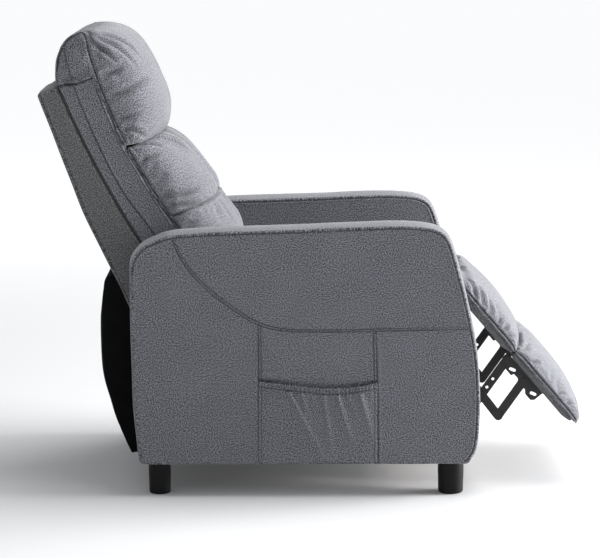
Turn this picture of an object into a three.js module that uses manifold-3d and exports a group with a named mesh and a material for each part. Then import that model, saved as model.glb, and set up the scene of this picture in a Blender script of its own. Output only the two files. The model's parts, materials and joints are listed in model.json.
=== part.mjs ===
// Push-back recliner armchair: upholstered arms on a wooden base, a reclining back,
// a sliding seat, and a footrest on a scissor linkage of flat steel bars.
//
// Millimetres, +Z up. The chair faces -Y and the sitter's left is +X. The design is drawn
// in side view with u running forward from the rear feet and z up from the floor.

import * as THREE from 'three';
import { mergeVertices } from 'three/addons/utils/BufferGeometryUtils.js';
import Module from 'manifold-3d';

const wasm = await Module();
wasm.setup();

// ---------------------------------------------------------------- driving dimensions

const GAP = 0.4; // clearance between parts that touch

const arm = { inside: 245, outside: 340, floor: 74, wall: 12, round: 20 };
const foot = { x: 292, height: 73.6, frontU: 651, frontR: 29, rearU: 0, rearR: 25, stud: 5 };
const seat = { rear: 160, front: 610, railTop: 400, railBottom: 352, half: 205, rail: 25 };
const back = { half: 232, pivot: [95, 400], wall: 8, stile: 24 };
const steel = 3; // bar and plate thickness

// The bars lie side by side in layers, counted outwards from the seat's side plates.
const layer = { plate: 205.4, inner: 209.2, middle: 213.1, outer: 217 };
const bar = { width: 20, pin: 4, hole: 4.8, head: 6.5, headHeight: 1.5 };

// Footrest linkage, drawn part-way out. Angles are in degrees, up from forward.
const linkage = {
  crossing: [725, 206],
  longAngle: 55,
  crossAngle: -52,
  longTail: 60,
  longReach: 100,
  crossReach: 62,
  crossTail: 210.4,
  drivePivot: [576, 307.3],
  guidePivot: [517.7, 330],
  tubeAlong: 150,
};

// Footrest panel: its top edge at the seat front, and the slope of its boards.
const panel = { top: [686, 435], slope: -49.5, half: 235, joint: 170, length: 388 };

const colours = {
  fabric: 0x6d6f74,
  darkFabric: 0x55575c,
  cloth: 0x17171a,
  wood: 0xc9a878,
  steel: 0x232427,
  plastic: 0x1b1c1e,
  webbing: 0xb9b4a6,
};

// ---------------------------------------------------------------- drawing helpers

const sideToWorld = new THREE.Matrix4().makeBasis(
  new THREE.Vector3(0, -1, 0),
  new THREE.Vector3(0, 0, 1),
  new THREE.Vector3(-1, 0, 0),
);

const degrees = THREE.MathUtils.degToRad;

/** The point a distance away from a start point, at an angle in the side view. */
function reach([u, z], distance, angle) {
  const a = degrees(angle);
  return [u + distance * Math.cos(a), z + distance * Math.sin(a)];
}

/** A side-view point from distances along and out from the footrest panel. */
function onPanel(along, out) {
  return reach(reach(panel.top, along, panel.slope), out, panel.slope + 90);
}

/** A closed outline from side-view points, always drawn anticlockwise. */
function shapeOf(points) {
  const ring = points.map(([u, z]) => new THREE.Vector2(u, z));
  return new THREE.Shape(THREE.ShapeUtils.isClockWise(ring) ? ring.reverse() : ring);
}

/** A smooth line through a few side-view points. */
function smooth(points, divisions = 8) {
  const curve = new THREE.SplineCurve(points.map(([u, z]) => new THREE.Vector2(u, z)));
  return curve.getPoints(divisions).map((p) => [p.x, p.y]);
}

function moved(points, du, dz = 0) {
  return points.map(([u, z]) => [u + du, z + dz]);
}

/** Extrudes a side-view shape across the chair between two X positions. */
function across(shape, xLow, xHigh, round = 0, segments = 2, curveSegments = 5) {
  const geometry = new THREE.ExtrudeGeometry(shape, {
    depth: xHigh - xLow - 2 * round,
    bevelEnabled: round > 0,
    bevelThickness: round,
    bevelSize: round,
    bevelOffset: -round,
    bevelSegments: segments,
    curveSegments,
  });
  geometry.translate(0, 0, -(xHigh - round));
  return geometry.applyMatrix4(sideToWorld);
}

/** Extrudes an (x, z) section forward between two u positions. */
function along(points, uLow, uHigh) {
  const geometry = new THREE.ExtrudeGeometry(shapeOf(points), {
    depth: uHigh - uLow,
    bevelEnabled: false,
  });
  geometry.rotateX(Math.PI / 2);
  return geometry.translate(0, -uLow, 0);
}

function box([xLow, xHigh], [uLow, uHigh], [zLow, zHigh]) {
  const geometry = new THREE.BoxGeometry(xHigh - xLow, uHigh - uLow, zHigh - zLow);
  return geometry.translate((xLow + xHigh) / 2, -(uLow + uHigh) / 2, (zLow + zHigh) / 2);
}

/** A round bar lying along X. */
function crossBar([u, z], radius, xLow, xHigh, sides = 12) {
  const geometry = new THREE.CylinderGeometry(radius, radius, xHigh - xLow, sides);
  geometry.rotateZ(Math.PI / 2);
  return geometry.translate((xLow + xHigh) / 2, -u, z);
}

/** A wire along a list of points, with an n-sided section. */
function wire(points, radius, steps, sides = 5) {
  const path = new THREE.CatmullRomCurve3(points.map((p) => new THREE.Vector3(...p)));
  const section = new THREE.Shape();
  for (let i = 0; i < sides; i += 1) {
    const a = (2 * Math.PI * i) / sides;
    section[i ? 'lineTo' : 'moveTo'](radius * Math.cos(a), radius * Math.sin(a));
  }
  return new THREE.ExtrudeGeometry(section, { steps, extrudePath: path });
}

// ---------------------------------------------------------------- joining and cutting

function toSolid(geometry) {
  const bare = geometry.clone();
  bare.deleteAttribute('normal');
  bare.deleteAttribute('uv');
  const merged = mergeVertices(bare, 1e-3);
  return new wasm.Manifold(
    new wasm.Mesh({
      numProp: 3,
      vertProperties: new Float32Array(merged.attributes.position.array),
      triVerts: new Uint32Array(merged.index.array),
    }),
  );
}

function toGeometry(solid) {
  const mesh = solid.getMesh();
  const geometry = new THREE.BufferGeometry();
  geometry.setAttribute('position', new THREE.BufferAttribute(mesh.vertProperties, 3));
  geometry.setIndex(new THREE.BufferAttribute(mesh.triVerts, 1));
  geometry.computeVertexNormals();
  return geometry;
}

function join(...geometries) {
  return toGeometry(geometries.map(toSolid).reduce((whole, piece) => whole.add(piece)));
}

function cut(geometry, ...tools) {
  return toGeometry(tools.map(toSolid).reduce((rest, tool) => rest.subtract(tool), toSolid(geometry)));
}

// ---------------------------------------------------------------- the chair

const chair = new THREE.Group();

function add(name, geometry, colour, metalness = 0, roughness = 0.85) {
  const material = new THREE.MeshStandardMaterial({ color: colour, metalness, roughness });
  const mesh = new THREE.Mesh(geometry, material);
  mesh.name = name;
  chair.add(mesh);
}

const addFabric = (name, geometry) => add(name, geometry, colours.fabric);
const addWood = (name, geometry) => add(name, geometry, colours.wood, 0, 0.7);
const addSteel = (name, geometry) => add(name, geometry, colours.steel, 0.8, 0.45);

/** Calls back once for each side with its name and a function that mirrors an X range. */
function eachSide(build) {
  build('left', (near, far) => [near, far]);
  build('right', (near, far) => [-far, -near]);
}

// Arms: a plywood frame inside a padded, fabric-covered shell that is open underneath.

const armOutline = [
  ...smooth([[-42, arm.floor - arm.round], [-57, 234], [-60, 427], [-60, 515]], 5),
  ...smooth([[-55, 537], [-31, 562], [31, 588]], 5),
  ...smooth([[154, 597], [314, 603], [495, 611], [592, 605]], 6),
  ...smooth([[624, 597], [640, 583], [654, 538]], 4),
  ...smooth([[681, 439], [705, 319], [712, 203], [708, 118], [686, arm.floor - arm.round]], 9),
];

const armCavity = [
  [-30, 40], [-45, 234], [-46, 505], [-18, 553], [35, 574], [154, 583], [495, 597],
  [588, 590], [612, 580], [640, 520], [667, 430], [691, 319], [698, 203], [694, 130], [674, 40],
];

const armFrameOutline = [
  [-26, 80], [-38, 240], [-40, 500], [-12, 547], [38, 567], [155, 577], [494, 590],
  [584, 584], [606, 574], [632, 515], [660, 428], [684, 317], [690, 203], [686, 132], [668, 80],
];

const armFrameWindow = [[35, 150], [30, 500], [60, 515], [545, 530], [600, 320], [606, 150]];

function armCover([xLow, xHigh]) {
  const outer = across(shapeOf(armOutline), xLow, xHigh, arm.round, 3);
  const hollow = across(shapeOf(armCavity), xLow + arm.wall, xHigh - arm.wall);
  const below = box([xLow - 1, xHigh + 1], [-100, 800], [0, arm.floor]);
  return cut(outer, hollow, below);
}

function armFrame([xLow, xHigh]) {
  const shape = shapeOf(armFrameOutline);
  shape.holes.push(new THREE.Path(armFrameWindow.map(([u, z]) => new THREE.Vector2(u, z))));
  return across(shape, xLow + arm.wall + 5, xHigh - arm.wall - 5);
}

eachSide((side, mirror) => {
  addFabric(`arm_cover_${side}`, armCover(mirror(arm.inside, arm.outside)));
  addWood(`arm_frame_${side}`, armFrame(mirror(arm.inside, arm.outside)));
});

// Side pocket on the right arm: a flat bag, open at the top, sewn on along three edges.

const pocket = { rear: 222, front: 484, low: 77, mouth: 256, depth: 8.6, cloth: 2.2, hem: 4 };

function sidePocket() {
  const face = -arm.outside - GAP;
  const bag = box([face - pocket.depth, face], [pocket.rear, pocket.front], [pocket.low, pocket.mouth]);
  const room = box(
    [face - pocket.depth + pocket.cloth, face + 1],
    [pocket.rear + pocket.hem, pocket.front - pocket.hem],
    [pocket.low + pocket.hem, pocket.mouth + 1],
  );
  return cut(bag, room);
}

addFabric('side_pocket', sidePocket());

// Base: two cross rails join the arms, on four feet.

const baseHalf = arm.inside - GAP;
addWood('front_rail', box([-baseHalf, baseHalf], [455, 500], [78, 140]));
addWood('rear_rail', box([-baseHalf, baseHalf], [-50, -28], [78, 150]));

function chairFoot(x, u, radius) {
  const edge = 0.45 * radius;
  const profile = [[0, 0], [radius - edge, 0]];
  for (const turn of [30, 60, 90]) {
    const a = degrees(turn);
    profile.push([radius - edge - 1 + edge * Math.sin(a), edge * 0.9 * (1 - Math.cos(a))]);
  }
  profile.push([radius, foot.height], [foot.stud, foot.height], [foot.stud, 79.6], [0, 79.6]);
  const geometry = new THREE.LatheGeometry(profile.map(([r, z]) => new THREE.Vector2(r, z)), 24);
  return geometry.rotateX(Math.PI / 2).translate(x, -u, 0);
}

eachSide((side, mirror) => {
  const [x] = mirror(foot.x, foot.x);
  add(`front_foot_${side}`, chairFoot(x, foot.frontU, foot.frontR), colours.plastic, 0, 0.4);
  add(`rear_foot_${side}`, chairFoot(x, foot.rearU, foot.rearR), colours.plastic, 0, 0.4);
});

// Dust covers: a flat one under the base, and a slack one between the back and the base.

add('bottom_dust_cover', box([-baseHalf, baseHalf], [-50, 500], [75.8, 77.4]), colours.cloth);

const rearClothLine = smooth([[-127, 490], [-134, 352], [-128, 260], [-96, 150], [-64, 79]], 10);

function rearCloth(thickness) {
  const inner = moved(rearClothLine, thickness).reverse();
  return across(shapeOf([...rearClothLine, ...inner]), -back.half, back.half);
}

add('rear_dust_cover', rearCloth(3), colours.cloth);

// Base ironwork: a channel on each arm for the seat to slide in, and the back's hinge plates.

const glide = { rear: 110, front: 545, low: 316, high: 353, lip: 226, wall: 3 };

function glideRail(mirror) {
  const [xLow, xHigh] = mirror(glide.lip, baseHalf);
  const [slotLow, slotHigh] = mirror(glide.lip - 1, baseHalf - glide.wall);
  return cut(
    box([xLow, xHigh], [glide.rear, glide.front], [glide.low, glide.high]),
    box(
      [slotLow, slotHigh],
      [glide.rear - 1, glide.front + 1],
      [glide.low + glide.wall, glide.high - glide.wall],
    ),
  );
}

const hingePlateOutline = [[45, 362], [148, 362], [148, 385], [112, 428], [78, 428], [45, 392]];

function backHingePlate(mirror) {
  const plate = across(shapeOf(hingePlateOutline), ...mirror(baseHalf - steel, baseHalf));
  const pin = crossBar(back.pivot, 5, ...mirror(layer.outer - 3, baseHalf - 1));
  return join(plate, pin);
}

eachSide((side, mirror) => {
  addSteel(`glide_rail_${side}`, glideRail(mirror));
  addSteel(`back_hinge_plate_${side}`, backHingePlate(mirror));
});

// ---------------------------------------------------------------- steel bars

const pivotShape = (centre, radius) => {
  const path = new THREE.Path();
  path.absarc(centre[0], centre[1], radius, 0, 2 * Math.PI, false);
  return path;
};

/** A flat bar with round ends, with holes at some points along it. */
function flatBar(start, end, holes, width = bar.width) {
  const angle = Math.atan2(end[1] - start[1], end[0] - start[0]);
  const shape = new THREE.Shape();
  shape.absarc(end[0], end[1], width / 2, angle - Math.PI / 2, angle + Math.PI / 2, false);
  shape.absarc(start[0], start[1], width / 2, angle + Math.PI / 2, angle + 1.5 * Math.PI, false);
  shape.holes.push(...holes.map(({ at, radius = bar.hole }) => pivotShape(at, radius)));
  return shape;
}

/** A pin that stands out of a bar's face, with a rivet head where there is room for one. */
function rivet(mirror, centre, from, to, headed = true) {
  const outward = to > from;
  const ends = outward ? [from, to] : [to, from];
  const shank = crossBar(centre, bar.pin, ...mirror(...ends), 10);
  if (!headed) return [shank];
  const headEnds = outward ? [to - 0.2, to + bar.headHeight] : [to - bar.headHeight, to + 0.2];
  return [shank, crossBar(centre, bar.head, ...mirror(...headEnds), 10)];
}

const outside = layer.outer + steel + 0.6;
const inLayer = (mirror, start) => mirror(start, start + steel);

// ---------------------------------------------------------------- seat

// Recline link: the foot of each back bracket pushes the seat forward as the back goes down.
const recline = { radius: 130, lead: 6.5, length: 110, width: 18, slot: 6 };
const reclineFoot = reach(back.pivot, recline.radius, 270 - recline.lead);
const reclineEnd = [reclineFoot[0] + recline.length, reclineFoot[1]];

function seatFrame() {
  const { rear, front, half, rail } = seat;
  const inner = [half - rail, front - rail, rear + rail];
  return cut(
    box([-half, half], [rear, front], [seat.railBottom, seat.railTop]),
    box([-inner[0], inner[0]], [inner[2], inner[1]], [seat.railBottom - 1, seat.railTop + 1]),
  );
}

const [driveU, driveZ] = linkage.drivePivot;
const [guideU, guideZ] = linkage.guidePivot;
const sidePlateOutline = [
  [166, 392], [166, 262], [178, reclineEnd[1] - 12], [202, reclineEnd[1] - 12], [236, 306],
  [guideU - 20, guideZ - 24], [driveU - 14, driveZ - 16], [driveU + 12, driveZ - 16],
  [driveU + 20, driveZ], [604, 392],
];

function seatSidePlate(mirror) {
  const plate = across(shapeOf(sidePlateOutline), ...inLayer(mirror, layer.plate));
  const drivePin = rivet(mirror, linkage.drivePivot, layer.plate + 1, layer.inner + steel, false);
  const springPin = crossBar(linkage.drivePivot, bar.pin, ...mirror(192, layer.plate + 1), 10);
  const guidePin = rivet(mirror, linkage.guidePivot, layer.plate + 1, layer.middle + steel + 0.4);
  const reclinePin = rivet(mirror, reclineEnd, layer.plate + 1, layer.middle + steel + 0.2, false);
  return join(plate, ...drivePin, springPin, ...guidePin, ...reclinePin);
}

function seatRunner(mirror) {
  const ends = mirror(layer.plate + steel + GAP, glide.lip + 11);
  return box(ends, [150, 470], [glide.low + 6, glide.high - 6]);
}

/** A zigzag spring of one bent wire, from the seat's rear rail to its front rail. */
function zigzagSpring(x) {
  const turns = 17;
  const wireRadius = 1.8;
  const endRoom = 2.4;
  const start = seat.rear + seat.rail + endRoom;
  const length = seat.front - seat.rear - 2 * (seat.rail + endRoom);
  const z = seat.railTop - 8;
  const points = [[x, -start, z]];
  for (let i = 0; i < turns; i += 1) {
    const side = i % 2 ? 1 : -1;
    points.push([x + 20 * side, -(start + (length * (i + 0.5)) / turns), z]);
  }
  points.push([x, -(start + length), z]);
  return wire(points, wireRadius, 4 * turns);
}

/** A coil spring round each drive pin that helps the footrest to close. */
function torsionSpring(mirror) {
  const coilRadius = 7.5;
  const turns = 4;
  const perTurn = 9;
  const [xStart] = mirror(194.5, 194.5);
  const [xEnd] = mirror(203, 203);
  const points = [[xStart, -(driveU - 34), driveZ - coilRadius]];
  for (let i = 0; i <= turns * perTurn; i += 1) {
    const a = -Math.PI / 2 + (2 * Math.PI * i) / perTurn;
    const x = xStart + ((xEnd - xStart) * i) / (turns * perTurn);
    points.push([x, -(driveU + coilRadius * Math.cos(a)), driveZ + coilRadius * Math.sin(a)]);
  }
  points.push([xEnd, -(driveU + 34), driveZ - coilRadius]);
  return wire(points, 1.2, 54);
}

const seatCushionOutline = [
  [170, 401], [606, 401], [614, 412], [617, 440],
  ...smooth([[626, 448], [634, 464], [626, 483], [600, 492]], 5),
  ...smooth([[540, 488], [300, 459], [200, 436], [170, 426]], 4),
];

addWood('seat_frame', seatFrame());
eachSide((side, mirror) => {
  addSteel(`seat_side_plate_${side}`, seatSidePlate(mirror));
  addSteel(`seat_runner_${side}`, seatRunner(mirror));
  addSteel(`footrest_spring_${side}`, torsionSpring(mirror));
});
[-120, -40, 40, 120].forEach((x, i) => addSteel(`seat_spring_${i + 1}`, zigzagSpring(x)));
addFabric('seat_cushion', across(shapeOf(seatCushionOutline), -238, 238, 10, 2));

// ---------------------------------------------------------------- back

const rearCurve = new THREE.SplineCurve(
  [[-267, 884], [-166, 617], [-64, 400]].map(([u, z]) => new THREE.Vector2(u, z)),
);

/** A point inside the back: a fraction of the way down its rear face, and a depth in from it. */
function inBack(fraction, depth) {
  const point = rearCurve.getPointAt(fraction);
  const down = rearCurve.getTangentAt(fraction);
  return [point.x - depth * down.y, point.y + depth * down.x];
}

/** The outline between two depths, from one fraction down the back to another. */
function backSlab(from, to, shallow, deep, divisions = 6) {
  const steps = Array.from({ length: divisions + 1 }, (_, i) => from + ((to - from) * i) / divisions);
  return shapeOf([
    ...steps.map((f) => inBack(f, shallow)),
    ...steps.reverse().map((f) => inBack(f, deep)),
  ]);
}

const frameSeam = smooth([[-221, 902], [-125, 700], [8, 482]], 8);
const frontSeam = smooth([[-130, 908], [-75, 778], [0, 652], [114, 482]], 8);
const frameDepth = [back.wall + 1.5, back.wall + 22];
const strapDepth = [frameDepth[1] + GAP, frameDepth[1] + 2.2];

function backCover() {
  const rear = Array.from({ length: 9 }, (_, i) => inBack(i / 8, 0));
  const lining = Array.from({ length: 8 }, (_, i) => inBack(0.02 + i / 8, back.wall));
  const hollow = [
    ...lining, [-52, 360], [26, 420],
    ...moved(frameSeam.slice(1), -back.wall - 1, -3).reverse(),
    inBack(0.02, 39),
  ];
  return cut(
    across(shapeOf([...rear, ...[...frameSeam].reverse()]), -back.half, back.half, 5, 1),
    across(shapeOf(hollow), -back.half + back.wall, back.half - back.wall),
  );
}

/** Wooden ladder inside the back: two stiles joined by three rails. */
function backFrame() {
  const half = layer.outer - GAP;
  const stile = backSlab(0.03, 0.93, ...frameDepth);
  const rails = [0.03, 0.45, 0.8].map((f) =>
    across(backSlab(f, f + 0.09, ...frameDepth, 1), -half + 1, half - 1),
  );
  return join(
    across(stile, half - back.stile, half),
    across(stile, -half, -half + back.stile),
    ...rails,
  );
}

/** Elastic strap stretched between the stiles, in front of them. */
function backStrap(fraction) {
  return across(backSlab(fraction, fraction + 0.1, ...strapDepth, 1), -214, 214);
}

const bracketOutline = [
  [-62, 446], [-52, 500], [-20, 500], [14, 444], [60, 424], [95, 422], [112, 412], [116, 395],
  [106, 330], [96, 270], [90, 258], [72, 258], [65, 268], [74, 330], [70, 374], [20, 392],
  [-30, 418],
];

function backBracket(mirror) {
  const shape = shapeOf(bracketOutline);
  shape.holes.push(pivotShape(back.pivot, 5.8));
  const plate = across(shape, ...inLayer(mirror, layer.outer));
  const pin = rivet(mirror, reclineFoot, layer.outer + 1, layer.middle - 0.4, false);
  return join(plate, ...pin);
}

function reclineLink(mirror) {
  const shape = flatBar(reclineFoot, reclineEnd, [{ at: reclineFoot }], recline.width);
  const [u, z] = reclineEnd;
  const slot = new THREE.Path();
  slot.absarc(u, z + 0.5, bar.hole, 0, Math.PI, false);
  slot.absarc(u, z - recline.slot, bar.hole, Math.PI, 2 * Math.PI, false);
  const eye = shapeOf([[u - 14, z - 18], [u + 12, z - 18], [u + 12, z + 9], [u - 14, z + 9]]);
  const whole = join(
    across(shape, ...inLayer(mirror, layer.middle)),
    across(eye, ...inLayer(mirror, layer.middle)),
  );
  return cut(whole, across(new THREE.Shape(slot.getPoints(5)), ...mirror(layer.middle - 1, layer.middle + 5)));
}

const cushionCore = [
  ...moved(frameSeam, 1),
  [60, 474],
  ...moved(frontSeam, -1).reverse(),
];

const headrestOutline = [
  [-224, 912], [-128, 912], ...moved(frontSeam.slice(1, 3), 1), [-74, 790], [14, 803],
  ...smooth([[18, 842], [2, 922], [-43, 999], [-92, 1034], [-150, 1034]], 8),
  ...smooth([[-190, 1016], [-216, 985], [-225, 946]], 4),
];

const lumbarOutline = [
  ...frontSeam.slice(4).map(([u, z]) => [u + 1.5, z]),
  [150, 468], [186, 468],
  ...smooth([[197, 490], [184, 560], [149, 638], [86, 732], [40, 778], [8, 792]], 9),
  [-50, 778], [-68, 768],
];

addWood('back_frame', backFrame());
[0.22, 0.38, 0.62].forEach((fraction, i) => {
  add(`back_strap_${i + 1}`, backStrap(fraction), colours.webbing);
});
add('back_cover', backCover(), colours.darkFabric);
addFabric('back_cushion', across(shapeOf(cushionCore), -back.half, back.half, 5, 1));
addFabric('headrest_cushion', across(shapeOf(headrestOutline), -back.half, back.half, 12, 2));
addFabric('lumbar_cushion', across(shapeOf(lumbarOutline), -back.half, back.half, 16, 2));
eachSide((side, mirror) => {
  addSteel(`back_bracket_${side}`, backBracket(mirror));
  addSteel(`recline_link_${side}`, reclineLink(mirror));
});

// ---------------------------------------------------------------- footrest linkage

const cross = linkage.crossing;
const longTailEnd = reach(cross, -linkage.longTail, linkage.longAngle);
const longTip = reach(cross, linkage.longReach, linkage.longAngle);
const crossTailEnd = reach(cross, -linkage.crossTail, linkage.crossAngle);
const crossTip = reach(cross, linkage.crossReach, linkage.crossAngle);
const outerTip = reach(longTip, linkage.crossReach, linkage.crossAngle);

function driveLink(mirror) {
  const shape = flatBar(linkage.drivePivot, longTailEnd, [{ at: linkage.drivePivot }]);
  const plate = across(shape, ...inLayer(mirror, layer.inner));
  return join(plate, ...rivet(mirror, longTailEnd, layer.inner + 1, layer.middle + steel + 0.4, false));
}

function guideLink(mirror) {
  const shape = flatBar(linkage.guidePivot, crossTailEnd, [{ at: linkage.guidePivot }]);
  const plate = across(shape, ...inLayer(mirror, layer.middle));
  return join(plate, ...rivet(mirror, crossTailEnd, layer.middle + 1, outside));
}

function longLink(mirror) {
  const lightening = [21, 44].map((d) => ({ at: reach(cross, d, linkage.longAngle), radius: 3.5 }));
  const shape = flatBar(longTailEnd, longTip, [{ at: longTailEnd }, ...lightening]);
  const plate = across(shape, ...inLayer(mirror, layer.middle));
  return join(
    plate,
    ...rivet(mirror, cross, layer.middle + 1, outside),
    ...rivet(mirror, longTip, layer.middle + 1, outside),
  );
}

function crossLink(mirror) {
  const shape = flatBar(crossTailEnd, crossTip, [{ at: crossTailEnd }, { at: cross }]);
  const plate = across(shape, ...inLayer(mirror, layer.outer));
  return join(plate, ...rivet(mirror, crossTip, layer.outer + 1, layer.middle - 0.6));
}

function outerLink(mirror) {
  const shape = flatBar(crossTip, outerTip, [{ at: crossTip }]);
  const plate = across(shape, ...inLayer(mirror, layer.middle));
  return join(plate, ...rivet(mirror, outerTip, layer.middle + 1, outside));
}

const tubeCentre = reach(
  linkage.drivePivot,
  linkage.tubeAlong,
  THREE.MathUtils.radToDeg(Math.atan2(longTailEnd[1] - driveZ, longTailEnd[0] - driveU)),
);

eachSide((side, mirror) => {
  addSteel(`drive_link_${side}`, driveLink(mirror));
  addSteel(`guide_link_${side}`, guideLink(mirror));
  addSteel(`long_link_${side}`, longLink(mirror));
  addSteel(`cross_link_${side}`, crossLink(mirror));
  addSteel(`outer_link_${side}`, outerLink(mirror));
});
const tubeHalf = layer.inner - GAP;
addSteel('torque_tube', crossBar(tubeCentre, 9, -tubeHalf, tubeHalf, 16));

// ---------------------------------------------------------------- footrest

const boards = { upper: 14, lower: 11.5 };

const panelShape = (points) => shapeOf(points.map(([a, o]) => onPanel(a, o)));

/** Steel bracket under the lower board, with two slotted tabs and an outward flange. */
function footrestBracket(mirror) {
  const under = -boards.lower - 0.6;
  const shape = panelShape([
    [163, under], [163, -28], [169, -34], [186, -34], [188, -40], [208, -40], [210, -33],
    [224, -33], [228, -37], [254, -37], [262, -43], [280, -43], [286, -36], [286, under],
  ]);
  const slotAt = (a) => {
    const ends = [onPanel(a - 4, -31), onPanel(a + 4, -27)];
    return new THREE.Path(flatBar(ends[0], ends[1], [], 7).getPoints(3));
  };
  shape.holes.push(pivotShape(longTip, bar.hole), pivotShape(outerTip, bar.hole));
  shape.holes.push(slotAt(200), slotAt(273));
  const plate = across(shape, ...inLayer(mirror, layer.outer));
  const flangeShape = panelShape([[170, under], [170, under - 2.6], [284, under - 2.6], [284, under]]);
  return join(plate, across(flangeShape, ...mirror(layer.outer + 1, 233)));
}

const upperBoard = [[2, -0.4], [2, -10], [8, -boards.upper], [140, -boards.upper], [166, -5], [166, -0.4]];
const lowerBoard = [
  [172, -0.4], [172, -7], [178, -boards.lower], [350, -boards.lower], [372, -6], [374, -0.4],
];

const padLine = (points, divisions) => smooth(points, divisions);
const upperPad = [
  [166, 0.4], [-30, 0.4],
  ...padLine([[-38, 10], [-36, 26], [-10, 42], [40, 50], [100, 47], [150, 36], [167, 22]], 12),
];
const lowerPad = [
  [171, 0.4],
  ...padLine([[171, 22], [188, 40], [240, 47], [300, 44], [345, 35], [374, 22], [386, 0.4]], 12),
];

addWood('upper_leg_board', across(panelShape(upperBoard), -panel.half, panel.half));
addWood('lower_leg_board', across(panelShape(lowerBoard), -panel.half, panel.half));
const padAcross = (outline) =>
  across(panelShape(outline), -panel.half - 1, panel.half + 1, 6, 2);
addFabric('upper_leg_pad', padAcross(upperPad));
addFabric('lower_leg_pad', padAcross(lowerPad));
eachSide((side, mirror) => addSteel(`footrest_bracket_${side}`, footrestBracket(mirror)));

// ---------------------------------------------------------------- origin

// The origin is on the floor under the middle of the chair's length.
const extent = new THREE.Box3().setFromObject(chair);
chair.position.y = -(extent.min.y + extent.max.y) / 2;

export default chair;
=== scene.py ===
import json
import math

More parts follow.
